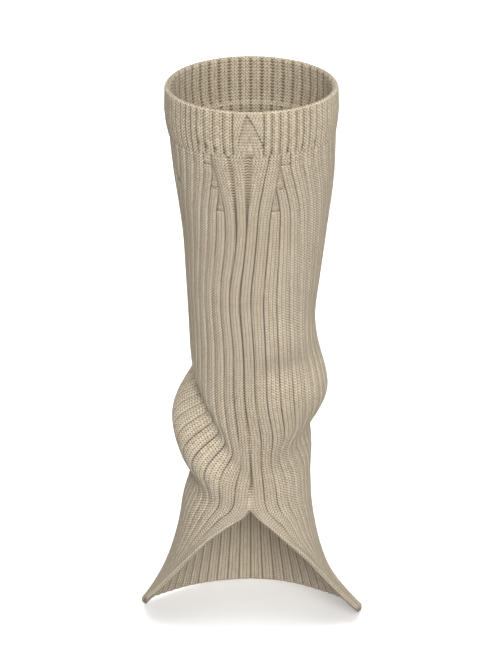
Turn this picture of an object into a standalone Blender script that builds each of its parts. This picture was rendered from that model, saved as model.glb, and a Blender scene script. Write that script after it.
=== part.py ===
"""One ribbed knit leg warmer in its worn form, as a Blender model of its real solids.

The leg tube is one rib-knit panel joined down the centre front. It follows the calf, slouches in
folds above the ankle, and its centre-front join stays open over the instep, so that the lower end
spreads over the foot. A narrow-ribbed cuff, knitted double, is joined to its top.

Metres, +Z up. The front faces -Y and +X is to the viewer's right. The origin is on the leg's axis
at the middle of the cuff, where the calf holds it up. The shape is worked out in millimetres, with
heights above the floor that the hem touches, and is moved to that origin at the end.
"""

import math

import bpy
import numpy as np

# Driving dimensions, in millimetres
METRES = 0.001
TUBE_LENGTH = 376.0        # cloth down the tube, from the cuff seam to the hem
APEX_RUN = 266.0           # cloth from the cuff seam to the top of the front opening
CUFF_SEAM = 359.0          # height of the cuff seam above the floor
CUFF_TOP = 391.0           # height of the rim above the floor
HOLD_HEIGHT = 375.0        # middle of the cuff, where the calf holds it
SEAM_GAP = 0.3             # clearance between the cuff and the tube at their seam
RIB_RELIEF = 1.3           # how far a tube rib stands above its grooves
TUBE_WALL = 2.0            # cloth from the grooves to the plain inside of the tube
CUFF_RELIEF = 1.0          # how far a cuff rib stands above its grooves
CUFF_WALL = 3.2            # the two layers of the cuff
CUFF_RIBS = 68             # narrow ribs round the cuff
SHOULDER = 0.2             # part of a rib's width that its sloping side takes
FULL_RELIEF_WIDTH = 4.0    # a narrower rib is raised less
HEM_POINTING = 1.1         # how much the heel of the hem narrows towards the corners

PLAIN_RIBS = 16            # ribs on each side between the shaped ones and the centre back
BACK_TO_SIDE_AT_HEM = 2.2  # the back ribs are this much wider than the side ones at the hem

# The tube's rings, by the cloth run from the cuff seam. The front opening has two edges below the
# apex: each has its turn from the front in degrees, its distance forward and its height.
SECTION_COLUMNS = (
    "run",
    "right_turn", "right_forward", "right_edge_height",
    "right_reach", "right_height",
    "back_reach", "back_height",
    "left_reach", "left_height",
    "left_turn", "left_forward", "left_edge_height",
)
SECTIONS = {
    "cuff seam":    (0, 0, 62.0, 359.0, 58.5, 359, 65.0, 359, 56.0, 357, 0, 62.0, 359.0),
    "calf top":     (28, 0, 59.5, 332.0, 57.8, 332, 64.0, 332, 53.2, 331, 0, 59.5, 332.0),
    "calf":         (75, 0, 54.5, 285.0, 52.4, 285, 60.0, 285, 47.0, 285, 0, 54.5, 285.0),
    "calf low":     (105, 0, 51.5, 255.0, 48.5, 255, 55.5, 255, 45.2, 255, 0, 51.5, 255.0),
    "shin":         (133, 0, 49.0, 227.0, 45.0, 227, 50.5, 228, 43.7, 227, 0, 49.0, 227.0),
    "shin low":     (158, 0, 46.5, 202.0, 44.5, 202, 46.5, 204, 42.6, 202, 0, 46.5, 202.0),
    "slouch top":   (182, 0, 44.5, 179.0, 44.0, 178, 44.0, 182, 42.0, 179, 0, 44.5, 179.0),
    "slouch":       (206, 0, 43.0, 156.0, 43.5, 155, 42.5, 160, 42.0, 160, 0, 43.0, 156.0),
    "slouch low":   (232, 0, 41.5, 130.0, 44.2, 131, 42.0, 136, 43.0, 137, 0, 41.5, 130.0),
    "ankle":        (254, 0, 41.5, 106.0, 42.5, 108, 43.0, 115, 44.8, 114, 0, 41.5, 106.0),
    "apex":         (266, 0, 42.0, 91.5, 42.8, 95, 44.0, 103, 45.8, 102, 0, 42.0, 91.5),
    "instep":       (280, 16, 45.0, 83.5, 43.6, 82, 45.5, 89, 48.2, 88, 15, 44.6, 85.0),
    "instep low":   (300, 35, 46.0, 71.0, 46.5, 63, 47.0, 69, 51.0, 69, 35, 46.0, 73.7),
    "spread":       (320, 53, 43.0, 57.1, 51.0, 45, 47.5, 50, 55.5, 51, 50, 44.0, 60.1),
    "skirt":        (340, 65, 39.0, 41.9, 58.0, 28, 47.5, 32, 62.0, 33, 62, 40.0, 45.1),
    "foot":         (360, 71, 33.3, 24.2, 70.3, 11, 46.5, 15, 71.2, 16, 70, 34.2, 29.7),
    "hem":          (376, 76, 29.0, 11.0, 80.5, 0, 45.5, 0, 78.8, 5, 73, 29.0, 20.0),
}

# Folds in the cloth: each is a ridge or a tuck round part of the tube. Azimuths are in degrees
# from the front towards the right, the slope is run per degree, and the twist moves the ribs round.
FOLD_COLUMNS = ("azimuth", "spread", "run", "slope", "above", "below", "out", "lift", "twist")
FOLDS = {
    "left tuck":    (-74, 64, 195, 0.72, 12, 10, -9.5, 0, 7.0),
    "left roll":    (-85, 62, 223, 0.55, 22, 22, 13.0, 3, -14.0),
    "left under":   (-62, 48, 262, 0.05, 10, 13, -4.5, 0, 0.0),
    "right swell":  (35, 35, 144, 0.0, 14, 10, 2.5, 0, 0.0),
    "right tuck":   (30, 35, 166, 0.0, 10, 10, -3.5, 0, 0.0),
    "right roll":   (80, 62, 188, -0.05, 28, 22, 10.5, 0, 5.0),
    "right under":  (60, 45, 229, -0.26, 12, 14, -6.0, 0, -3.0),
    "back tuck":    (175, 55, 172, 0.0, 14, 14, -3.0, 0, 0.0),
    "back roll":    (180, 55, 205, 0.0, 22, 22, 5.0, 0, 0.0),
    "front sway":   (0, 50, 125, 0.0, 65, 75, 0.0, 0, -7.5),
    "top sway":     (0, 45, 20, 0.0, 50, 50, 0.0, 0, -1.5),
}

# Widths of the shaped ribs beside the centre-front join, from the join outwards. The last three
# are short: above its start each one is a wedge of plain purl that narrows away upwards.
RIB_COLUMNS = ("run", "right_first", "right_second", "left_first", "left_second", "low", "middle", "high")
RIB_WIDTHS = {
    "cuff seam":    (0, 14.4, 7.4, 14.9, 12.0, 0.5, 0.5, 7.0),
    "high start":   (9, 13.0, 8.1, 12.6, 13.0, 0.5, 0.8, 7.0),
    "high":         (17, 11.5, 8.4, 11.2, 11.6, 0.5, 3.5, 7.3),
    "middle start": (26, 10.2, 8.6, 10.2, 10.3, 0.8, 6.6, 7.3),
    "middle":       (34, 9.0, 8.7, 9.2, 9.2, 3.5, 7.0, 7.3),
    "low start":    (43, 8.0, 8.4, 8.2, 8.4, 6.4, 7.2, 7.3),
    "calf":         (58, 7.6, 8.1, 7.1, 8.5, 7.0, 7.2, 7.3),
    "calf low":     (100, 7.7, 8.4, 8.1, 6.8, 7.0, 7.1, 7.1),
    "shin":         (160, 7.0, 7.0, 7.0, 7.0, 7.0, 7.0, 7.0),
    "slouch":       (225, 7.4, 7.4, 7.5, 7.5, 7.2, 7.0, 6.8),
    "apex":         (262, 10.0, 9.5, 9.5, 9.0, 8.5, 8.0, 7.5),
    "instep low":   (300, 6.3, 6.3, 6.3, 6.3, 6.3, 6.3, 6.3),
    "hem":          (376, 4.2, 4.2, 4.2, 4.2, 4.2, 4.2, 4.2),
}
SHORT_RIB_STARTS = {"low": 43.0, "middle": 26.0, "high": 9.0}
START_LENGTH = 3.0         # cloth in which a short rib rises to its full relief

# The cuff's rings: height above the floor, how much lower the left side is, reach to each side,
# and how far the edge is rolled in
CUFF_COLUMNS = ("height", "left_drop", "front_reach", "right_reach", "back_reach", "left_reach", "rolled_in")
CUFF_RINGS = {
    "seam":         (CUFF_SEAM + SEAM_GAP, 2.0, 62.6, 58.6, 65.6, 57.4, 0.8),
    "seam roll":    (361.5, 2.0, 63.4, 59.4, 66.4, 58.2, 0.0),
    "belly":        (376.0, 1.0, 64.4, 60.4, 67.6, 59.3, 0.0),
    "rim roll":     (388.5, 0.0, 65.0, 60.0, 69.2, 59.0, 0.0),
    "rim":          (CUFF_TOP, 0.0, 64.6, 59.6, 69.0, 58.6, 1.2),
}

# Rows of the tube's mesh: (first run, last run, steps)
ROW_SPANS = ((0.0, 54.0, 4), (54.0, 134.0, 4), (134.0, 252.0, 14), (252.0, APEX_RUN, 1), (APEX_RUN, TUBE_LENGTH, 7))
FINE_ARC = 180             # steps in which half a ring is measured

TUBE_COLOUR = (0.46, 0.385, 0.285, 1.0)
CUFF_COLOUR = (0.45, 0.375, 0.275, 1.0)
KNIT_ROUGHNESS = 0.95


def clear_scene():
    """Remove whatever the scene holds."""
    for existing in list(bpy.data.objects):
        bpy.data.objects.remove(existing, do_unlink=True)


def smooth_curve(where, places, values):
    """Return a smooth curve through the given values, with no overshoot between even rows."""
    places = np.asarray(places, float)
    values = np.asarray(values, float)
    step = np.diff(places)
    slope = np.diff(values) / step
    tangent = np.empty(len(places))
    tangent[0] = slope[0]
    tangent[-1] = slope[-1]
    tangent[1:-1] = (step[1:] * slope[:-1] + step[:-1] * slope[1:]) / (step[1:] + step[:-1])
    span = np.clip(np.searchsorted(places, where) - 1, 0, len(step) - 1)
    t = (where - places[span]) / step[span]
    start = (2 * t**3 - 3 * t**2 + 1) * values[span] + (t**3 - 2 * t**2 + t) * step[span] * tangent[span]
    end = (3 * t**2 - 2 * t**3) * values[span + 1] + (t**3 - t**2) * step[span] * tangent[span + 1]
    return start + end


def column(table, columns, name):
    """Return one named column of a table as an array."""
    place = columns.index(name)
    return np.array([row[place] for row in table.values()], float)


def section(name, run):
    """Return a named section measure at each run down the cloth."""
    return smooth_curve(run, column(SECTIONS, SECTION_COLUMNS, "run"), column(SECTIONS, SECTION_COLUMNS, name))


def opening_turn(side, run):
    """Return how far, in degrees from the front, the opening's edge has turned on one side."""
    return np.where(run <= APEX_RUN, 0.0, np.maximum(section(side + "_turn", run), 0.0))


def fold_effect(azimuth, run, effect):
    """Sum what all the folds do at each place: "out", "lift" or "twist"."""
    total = np.zeros(np.broadcast(azimuth, run).shape)
    for row in FOLDS.values():
        fold = dict(zip(FOLD_COLUMNS, row))
        turn = (azimuth - fold["azimuth"] + 180.0) % 360.0 - 180.0
        fade = np.cos(np.clip(turn / (1.5 * fold["spread"]), -1.0, 1.0) * math.pi / 2) ** 2
        distance = run - (fold["run"] + fold["slope"] * turn)
        width = np.where(distance < 0.0, fold["above"], fold["below"])
        total = total + fold[effect] * fade * np.exp(-(distance / width) ** 2)
    return total


def tube_surface(azimuth, run):
    """Return the points of the tube's rib tops, in mm, at azimuths in degrees and runs in mm."""
    azimuth = np.asarray(azimuth, float)
    run = np.asarray(run, float) + 0.0 * azimuth
    on_right = (azimuth % 360.0) < 180.0
    sine = np.sin(np.radians(azimuth))
    cosine = np.cos(np.radians(azimuth))
    in_front = cosine >= 0.0
    turn = np.where(on_right, opening_turn("right", run), opening_turn("left", run))
    edge_cosine = np.cos(np.radians(turn))
    reach = np.where(on_right, section("right_reach", run), section("left_reach", run))
    forward = np.where(on_right, section("right_forward", run), section("left_forward", run)) / edge_cosine
    side_height = np.where(on_right, section("right_height", run), section("left_height", run))
    edge_height = np.where(on_right, section("right_edge_height", run), section("left_edge_height", run))
    share = np.where(in_front, cosine / edge_cosine, cosine) ** 2
    height = side_height + (np.where(in_front, edge_height, section("back_height", run)) - side_height) * share
    pointing = 1.0 + HEM_POINTING * np.clip((run - 290.0) / 86.0, 0.0, 1.0)
    rounding = np.sign(cosine) * np.abs(cosine) ** np.where(in_front, 1.0, pointing)
    depth = np.where(in_front, forward, section("back_reach", run))
    out = fold_effect(azimuth, run, "out")
    x = (reach + out) * sine
    y = -(depth * rounding + out * cosine)
    return np.stack([x, y, height + fold_effect(azimuth, run, "lift")], -1)


def tube_normal(azimuth, run):
    """Return the unit normals of the tube's surface, pointing out."""
    turn_step = 0.5
    run_step = 0.5
    low = np.clip(run - run_step, 0.0, TUBE_LENGTH)
    high = np.clip(run + run_step, 0.0, TUBE_LENGTH)
    crosses = (run > APEX_RUN - 1.0) & (run < APEX_RUN + 1.0)
    high = np.where(crosses, APEX_RUN, high)
    along_run = tube_surface(azimuth, high) - tube_surface(azimuth, np.where(crosses, APEX_RUN - 1.0, low))
    around = tube_surface(azimuth + turn_step, run) - tube_surface(azimuth - turn_step, run)
    normal = np.cross(along_run, around)
    return normal / np.linalg.norm(normal, axis=-1, keepdims=True)


def rib_widths(side, run):
    """Return the widths of one side's ribs at one run, from the centre front to the centre back."""
    names = (side + "_first", side + "_second", "low", "middle", "high")
    places = column(RIB_WIDTHS, RIB_COLUMNS, "run")
    return [float(smooth_curve(run, places, column(RIB_WIDTHS, RIB_COLUMNS, name))) for name in names]


def groove_azimuths(run):
    """Return the azimuths of all the grooves at one run, from the join round to the join."""
    sides = []
    for side, direction in (("right", 1.0), ("left", -1.0)):
        start = float(opening_turn(side, np.array(run)))
        turns = np.linspace(start, 180.0, FINE_ARC + 1)
        points = tube_surface((direction * turns) % 360.0, np.full(turns.shape, run))
        arc = np.concatenate([[0.0], np.cumsum(np.linalg.norm(np.diff(points, axis=0), axis=1))])
        shaped = np.maximum(rib_widths(side, run), 0.4)
        hem_share = np.clip((run - 250.0) / (TUBE_LENGTH - 250.0), 0.0, 1.0)
        plain = np.linspace(1.0, 1.0 + (BACK_TO_SIDE_AT_HEM - 1.0) * hem_share, PLAIN_RIBS)
        plain = plain / plain.sum() * (arc[-1] - shaped.sum())
        edges = np.concatenate([[0.0], np.cumsum(np.concatenate([shaped, plain]))])
        sides.append(np.interp(edges, arc, turns))
    azimuths = np.concatenate([sides[0], (360.0 - sides[1])[::-1][1:]])
    twisted = azimuths + fold_effect(azimuths, np.full(azimuths.shape, run), "twist")
    if run > APEX_RUN:
        twisted[0] = azimuths[0]
        twisted[-1] = azimuths[-1]
    return twisted


def rib_heights(run):
    """Return how far each of the tube's ribs stands up at one run, from 0 for purl to 1."""
    shaped = [1.0, 1.0]
    for name in ("low", "middle", "high"):
        shaped.append(float(np.clip((run - SHORT_RIB_STARTS[name]) / START_LENGTH, 0.0, 1.0)))
    side = shaped + [1.0] * PLAIN_RIBS
    return np.array(side + side[::-1])


def rib_columns(grooves, heights):
    """Return each rib's three columns and the last groove, with how far each stands up, 0 to 1."""
    azimuths = []
    raised = []
    for groove, width, height in zip(grooves[:-1], np.diff(grooves), heights):
        azimuths += [groove, groove + SHOULDER * width, groove + (1.0 - SHOULDER) * width]
        raised += [0.0, height, height]
    return np.array(azimuths + [grooves[-1]]), np.array(raised + [0.0])


def tube_rows():
    """Return the runs at which the tube's mesh has a row."""
    rows = [0.0]
    for first, last, steps in ROW_SPANS:
        rows += list(np.linspace(first, last, steps + 1)[1:])
    return rows


def tube_row(run):
    """Return the outer and the inner points of one row of the tube."""
    grooves = groove_azimuths(run)
    azimuths, raised = rib_columns(grooves, rib_heights(run))
    outer = tube_surface(azimuths, run)
    normals = tube_normal(azimuths, np.full(azimuths.shape, run))
    centre_gaps = np.linalg.norm(np.diff(tube_surface(grooves, run), axis=0), axis=1)
    width = np.concatenate([np.repeat(centre_gaps, 3), centre_gaps[-1:]])
    relief = RIB_RELIEF * np.minimum(1.0, width / FULL_RELIEF_WIDTH)
    outer = outer - normals * ((1.0 - raised) * relief)[:, None]
    inner_normals = tube_normal(grooves, np.full(grooves.shape, run))
    inner = tube_surface(grooves, run) - inner_normals * (RIB_RELIEF + TUBE_WALL)
    if run in (0.0, TUBE_LENGTH):
        outer[:, 2] = tube_surface(azimuths, run)[:, 2]
        inner[:, 2] = tube_surface(grooves, run)[:, 2]
    return outer, inner


def strip_faces(upper, lower):
    """Return the quads between two rows of vertex numbers, of equal length."""
    return [
        (upper[i], lower[i], lower[i + 1], upper[i + 1])
        for i in range(len(upper) - 1)
    ]


def edge_faces(outer, inner):
    """Return the faces that close an edge between an outer row and its plain inner row.

    The outer row has three vertices for each of the inner row's steps.
    """
    faces = []
    for rib in range(len(inner) - 1):
        groove, rise, fall, following = outer[3 * rib:3 * rib + 4]
        faces += [
            (inner[rib], groove, rise),
            (inner[rib], rise, fall),
            (inner[rib], fall, inner[rib + 1]),
            (inner[rib + 1], fall, following),
        ]
    return faces


def reversed_faces(faces):
    """Return faces that look the other way."""
    return [tuple(reversed(face)) for face in faces]


def knit_material(name, colour):
    """Return a plain matt material in the yarn's colour."""
    material = bpy.data.materials.new(name)
    material.use_nodes = True
    shader = material.node_tree.nodes["Principled BSDF"]
    shader.inputs["Base Color"].default_value = colour
    shader.inputs["Roughness"].default_value = KNIT_ROUGHNESS
    shader.inputs["Metallic"].default_value = 0.0
    return material


def mesh_object(name, points, faces, material):
    """Make an object from points in mm above the floor, placed about the hold on the calf."""
    shifted = (np.array(points) - np.array([0.0, 0.0, HOLD_HEIGHT])) * METRES
    mesh = bpy.data.meshes.new(name)
    mesh.from_pydata(shifted.tolist(), [], faces)
    mesh.validate()
    mesh.materials.append(material)
    mesh.shade_smooth()
    built = bpy.data.objects.new(name, mesh)
    bpy.context.collection.objects.link(built)
    return built


class PointList:
    """The vertices of a mesh being built, handed out as rows of numbers."""

    def __init__(self):
        self.points = []

    def add(self, row):
        """Add a row of points and return their numbers."""
        first = len(self.points)
        self.points += [tuple(point) for point in row]
        return list(range(first, len(self.points)))


def build_leg_tube():
    """Build the rib-knit tube with its folds and its open front join over the instep."""
    vertices = PointList()
    outer_rows = []
    inner_rows = []
    for run in tube_rows():
        outer, inner = tube_row(run)
        closed = run <= APEX_RUN
        if closed:
            outer_numbers = vertices.add(outer[:-1])
            inner_numbers = vertices.add(inner[:-1])
            outer_numbers.append(outer_numbers[0])
            inner_numbers.append(inner_numbers[0])
        else:
            outer_numbers = vertices.add(outer)
            inner_numbers = vertices.add(inner)
        outer_rows.append(outer_numbers)
        inner_rows.append(inner_numbers)

    faces = []
    for upper, lower in zip(outer_rows, outer_rows[1:]):
        faces += strip_faces(upper, lower)
    for upper, lower in zip(inner_rows, inner_rows[1:]):
        faces += reversed_faces(strip_faces(upper, lower))
    faces += edge_faces(outer_rows[0], inner_rows[0])
    faces += reversed_faces(edge_faces(outer_rows[-1], inner_rows[-1]))
    for upper_out, lower_out, upper_in, lower_in in zip(outer_rows, outer_rows[1:], inner_rows, inner_rows[1:]):
        open_below = lower_out[0] != lower_out[-1]
        if open_below:
            faces.append((upper_out[0], upper_in[0], lower_in[0], lower_out[0]))
            faces.append((upper_out[-1], lower_out[-1], lower_in[-1], upper_in[-1]))
    material = knit_material("leg_tube_knit", TUBE_COLOUR)
    return mesh_object("leg_tube", vertices.points, faces, material)


def cuff_ring(row, azimuths, inset):
    """Return one ring of the cuff at the given azimuths, moved in by an inset in mm."""
    ring = dict(zip(CUFF_COLUMNS, row))
    sine = np.sin(np.radians(azimuths))
    cosine = np.cos(np.radians(azimuths))
    side = np.where(sine >= 0.0, ring["right_reach"], ring["left_reach"]) - inset
    depth = np.where(cosine >= 0.0, ring["front_reach"], ring["back_reach"]) - inset
    height = ring["height"] - np.where(sine < 0.0, ring["left_drop"] * sine ** 2, 0.0)
    return np.stack([side * sine, -depth * cosine, height], -1)


def build_cuff():
    """Build the doubled cuff: narrow ribs outside, a plain inside and two rolled edges."""
    vertices = PointList()
    grooves = np.linspace(0.0, 360.0, CUFF_RIBS + 1)
    columns, raised = rib_columns(grooves, np.ones(CUFF_RIBS))
    outer_rows = []
    inner_rows = []
    for name, row in CUFF_RINGS.items():
        rolled = dict(zip(CUFF_COLUMNS, row))["rolled_in"]
        outer = cuff_ring(row, columns[:-1], rolled + (1.0 - raised[:-1]) * CUFF_RELIEF)
        numbers = vertices.add(outer)
        outer_rows.append(numbers + numbers[:1])
        if name in ("seam", "belly", "rim"):
            inner = cuff_ring(row, grooves[:-1], CUFF_RELIEF + CUFF_WALL - rolled)
            numbers = vertices.add(inner)
            inner_rows.append(numbers + numbers[:1])

    faces = []
    for lower, upper in zip(outer_rows, outer_rows[1:]):
        faces += strip_faces(upper, lower)
    for lower, upper in zip(inner_rows, inner_rows[1:]):
        faces += reversed_faces(strip_faces(upper, lower))
    faces += edge_faces(outer_rows[-1], inner_rows[-1])
    faces += reversed_faces(edge_faces(outer_rows[0], inner_rows[0]))
    material = knit_material("cuff_knit", CUFF_COLOUR)
    return mesh_object("cuff", vertices.points, faces, material)


def main():
    """Build the whole leg warmer."""
    clear_scene()
    build_leg_tube()
    build_cuff()


main()
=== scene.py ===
"""Looks of one rib-knit leg warmer in its worn, hollow form.

The leg tube, its doubled cuff and their linked seam are knitted from one heathered oatmeal yarn.
Shapes are worked out in millimetres with heights above the floor, as the cloth was cut and worn,
and are moved to the hold on the calf, in metres, when a mesh is made.
"""

from __future__ import annotations

import logging
import math
from dataclasses import dataclass, field
from enum import Enum
from typing import Optional, Sequence, Union

import bpy
import numpy as np
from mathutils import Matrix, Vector

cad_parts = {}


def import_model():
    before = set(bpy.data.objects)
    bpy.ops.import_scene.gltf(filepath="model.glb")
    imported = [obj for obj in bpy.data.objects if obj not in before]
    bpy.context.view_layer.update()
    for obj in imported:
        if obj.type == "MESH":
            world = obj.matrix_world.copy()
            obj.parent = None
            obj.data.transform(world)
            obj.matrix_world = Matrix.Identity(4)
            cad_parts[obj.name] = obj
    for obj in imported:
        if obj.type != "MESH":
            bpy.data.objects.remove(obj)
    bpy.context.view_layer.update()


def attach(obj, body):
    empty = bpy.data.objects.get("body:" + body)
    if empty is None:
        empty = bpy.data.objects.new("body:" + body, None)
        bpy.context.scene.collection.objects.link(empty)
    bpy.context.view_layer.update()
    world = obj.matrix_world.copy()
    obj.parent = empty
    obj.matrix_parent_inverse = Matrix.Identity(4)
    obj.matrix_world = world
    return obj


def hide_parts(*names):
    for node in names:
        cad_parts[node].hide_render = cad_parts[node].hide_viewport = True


LOG = logging.getLogger("leg_warmer")
METRES = 0.001
HOLD_HEIGHT = 375.0
FLOOR_CLEARANCE = 0.15
WALES_A_RIB = 4.0
Socket = bpy.types.NodeSocket
Value = Union[float, int, bpy.types.NodeSocket]


class Side(Enum):
    """The side of the centre-front join on which something lies."""

    RIGHT = "right"
    LEFT = "left"


class Skin(Enum):
    """Which face of the cloth a row of points belongs to."""

    OUTER = "outer"
    INNER = "inner"


def turn_between(azimuth: np.ndarray, centre: float) -> np.ndarray:
    """Return the turn in degrees, from -180 to 180, from a centre to each azimuth."""
    return (azimuth - centre + 180.0) % 360.0 - 180.0


def eased_from(low: float, share: np.ndarray) -> np.ndarray:
    """Return values eased from low to 1 as the share goes from 0 to 1."""
    return low + (1.0 - low) * share * share * (3.0 - 2.0 * share)


def about_the_hold(points: np.ndarray) -> list[list[float]]:
    """Return points in mm above the floor as places in metres about the hold on the calf."""
    return ((points - np.array([0.0, 0.0, HOLD_HEIGHT])) * METRES).tolist()


def put_in_scene(name: str, data: bpy.types.ID) -> bpy.types.Object:
    """Make an object of a mesh, a light or a camera and put it in the scene."""
    made = bpy.data.objects.new(name, data)
    bpy.context.scene.collection.objects.link(made)
    return made


@dataclass(frozen=True)
class NumberTable:
    """A short table of measures with named columns, read as smooth curves down its first column."""

    columns: tuple[str, ...]
    rows: tuple[tuple[float, ...], ...]

    def column(self, name: str) -> np.ndarray:
        """Return one named column."""
        place = self.columns.index(name)
        return np.array([row[place] for row in self.rows], float)

    def entries(self) -> list[dict[str, float]]:
        """Return each row as its measures by name."""
        return [dict(zip(self.columns, row)) for row in self.rows]

    def at(self, name: str, where: np.ndarray) -> np.ndarray:
        """Read a column smoothly, with no overshoot between even rows.

        Args:
            name: The column to read.
            where: Places along the table's first column.

        Returns:
            The column's value at each place.
        """
        places = self.column(self.columns[0])
        values = self.column(name)
        step = np.diff(places)
        slope = np.diff(values) / step
        tangent = np.empty(len(places))
        tangent[0] = slope[0]
        tangent[-1] = slope[-1]
        tangent[1:-1] = (step[1:] * slope[:-1] + step[:-1] * slope[1:]) / (step[1:] + step[:-1])
        span = np.clip(np.searchsorted(places, where) - 1, 0, len(step) - 1)
        t = (where - places[span]) / step[span]
        leaving = (t**3 - 2 * t**2 + t) * step[span] * tangent[span]
        arriving = (t**3 - t**2) * step[span] * tangent[span + 1]
        start = (2 * t**3 - 3 * t**2 + 1) * values[span] + leaving
        end = (3 * t**2 - 2 * t**3) * values[span + 1] + arriving
        return start + end

    def straight(self, name: str, where: Union[float, np.ndarray]) -> np.ndarray:
        """Read a column with straight lines between its rows."""
        return np.interp(where, self.column(self.columns[0]), self.column(name))


SECTIONS = NumberTable(
    (
        "run", "right_turn", "right_forward", "right_edge_height", "right_reach", "right_height",
        "back_reach", "back_height", "left_reach", "left_height",
        "left_turn", "left_forward", "left_edge_height",
    ),
    (
        (0, 0, 62.0, 359.0, 58.5, 359, 65.0, 359, 56.0, 357, 0, 62.0, 359.0),
        (28, 0, 59.5, 332.0, 57.8, 332, 64.0, 332, 53.2, 331, 0, 59.5, 332.0),
        (75, 0, 54.5, 285.0, 52.4, 285, 60.0, 285, 47.0, 285, 0, 54.5, 285.0),
        (105, 0, 51.5, 255.0, 48.5, 255, 55.5, 255, 45.2, 255, 0, 51.5, 255.0),
        (133, 0, 49.0, 227.0, 45.0, 227, 50.5, 228, 43.7, 227, 0, 49.0, 227.0),
        (158, 0, 46.5, 202.0, 44.5, 202, 46.5, 204, 42.6, 202, 0, 46.5, 202.0),
        (182, 0, 44.5, 179.0, 44.0, 178, 44.0, 182, 42.0, 179, 0, 44.5, 179.0),
        (206, 0, 43.0, 156.0, 43.5, 155, 42.5, 160, 42.0, 160, 0, 43.0, 156.0),
        (232, 0, 41.5, 130.0, 44.2, 131, 42.0, 136, 43.0, 137, 0, 41.5, 130.0),
        (254, 0, 41.5, 106.0, 42.5, 108, 43.0, 115, 44.8, 114, 0, 41.5, 106.0),
        (266, 0, 42.0, 91.5, 42.8, 95, 44.0, 103, 45.8, 102, 0, 42.0, 91.5),
        (280, 16, 45.0, 83.5, 43.6, 82, 45.5, 89, 48.2, 88, 15, 44.6, 85.0),
        (300, 35, 46.0, 71.0, 46.5, 63, 47.0, 69, 51.0, 69, 35, 46.0, 73.7),
        (320, 53, 43.0, 57.1, 51.0, 45, 47.5, 50, 55.5, 51, 50, 44.0, 60.1),
        (340, 65, 39.0, 41.9, 58.0, 28, 47.5, 32, 62.0, 33, 62, 40.0, 45.1),
        (360, 71, 33.3, 24.2, 70.3, 11, 46.5, 15, 71.2, 16, 70, 34.2, 29.7),
        (376, 76, 29.0, 11.0, 80.5, 0, 45.5, 0, 78.8, 5, 73, 29.0, 20.0),
    ),
)

FOLDS = NumberTable(
    ("azimuth", "spread", "run", "slope", "above", "below", "out", "lift", "twist"),
    (
        (-74, 64, 195, 0.72, 12, 10, -9.5, 0, 9.0),
        (-85, 62, 223, 0.55, 22, 22, 13.0, 3, -21.0),
        (-62, 48, 262, 0.05, 10, 13, -4.5, 0, 0.0),
        (35, 35, 144, 0.0, 14, 10, 2.5, 0, 0.0),
        (30, 35, 166, 0.0, 10, 10, -3.5, 0, 0.0),
        (80, 62, 188, -0.05, 28, 22, 10.5, 0, 3.5),
        (45, 40, 213, -0.15, 14, 12, 0.0, 0, 4.5),
        (60, 45, 229, -0.26, 12, 14, -6.0, 0, -3.0),
        (175, 55, 172, 0.0, 14, 14, -3.0, 0, 0.0),
        (180, 55, 205, 0.0, 22, 22, 5.0, 0, 0.0),
        (0, 50, 125, 0.0, 65, 75, 0.0, 0, -7.5),
        (0, 45, 20, 0.0, 50, 50, 0.0, 0, -1.5),
        (0, 60, 108, 0.0, 28, 26, 0.0, 0, -2.8),
        (0, 60, 185, 0.0, 22, 22, 0.0, 0, -2.2),
    ),
)

RIB_WIDTHS = NumberTable(
    ("run", "right_first", "right_second", "left_first", "left_second", "low", "middle", "high"),
    (
        (0, 14.4, 7.4, 14.9, 12.0, 0.5, 0.5, 7.0),
        (9, 13.0, 8.1, 12.6, 13.0, 0.5, 0.8, 7.0),
        (17, 11.5, 8.4, 11.2, 11.6, 0.5, 3.5, 7.3),
        (26, 10.2, 8.6, 10.2, 10.3, 0.8, 6.6, 7.3),
        (34, 9.0, 8.7, 9.2, 9.2, 3.5, 7.0, 7.3),
        (43, 8.0, 8.4, 8.2, 8.4, 6.4, 7.2, 7.3),
        (58, 7.6, 8.1, 7.1, 8.5, 7.4, 7.6, 7.8),
        (100, 8.0, 8.2, 7.8, 8.0, 8.2, 8.5, 8.2),
        (160, 7.5, 7.6, 7.3, 8.0, 8.5, 8.6, 8.2),
        (190, 7.5, 7.6, 7.8, 8.2, 8.5, 8.4, 8.0),
        (225, 7.6, 7.6, 7.7, 7.8, 7.8, 7.6, 7.2),
        (262, 10.0, 9.5, 9.5, 9.0, 8.5, 8.0, 7.5),
        (300, 6.3, 6.3, 6.3, 6.3, 6.3, 6.3, 6.3),
        (376, 4.2, 4.2, 4.2, 4.2, 4.2, 4.2, 4.2),
    ),
)

GROOVE_HALF_WIDTHS = NumberTable(
    ("run", "centre", "left_first", "sunk"),
    (
        (0, 2.6, 1.5, 0.72),
        (10, 2.7, 1.6, 0.76),
        (24, 2.3, 1.5, 0.82),
        (34, 1.5, 1.2, 0.88),
        (45, 0.8, 0.7, 0.95),
        (56, 0.35, 0.5, 0.95),
        (70, 0.2, 0.2, 0.95),
        (232, 0.2, 0.2, 0.95),
        (240, 0.7, 0.2, 0.95),
        (250, 0.95, 0.2, 0.9),
        (257, 1.3, 0.2, 0.5),
        (264, 1.5, 0.2, 0.42),
        (268, 0.2, 0.2, 0.5),
        (376, 0.2, 0.2, 0.5),
    ),
)

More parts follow.
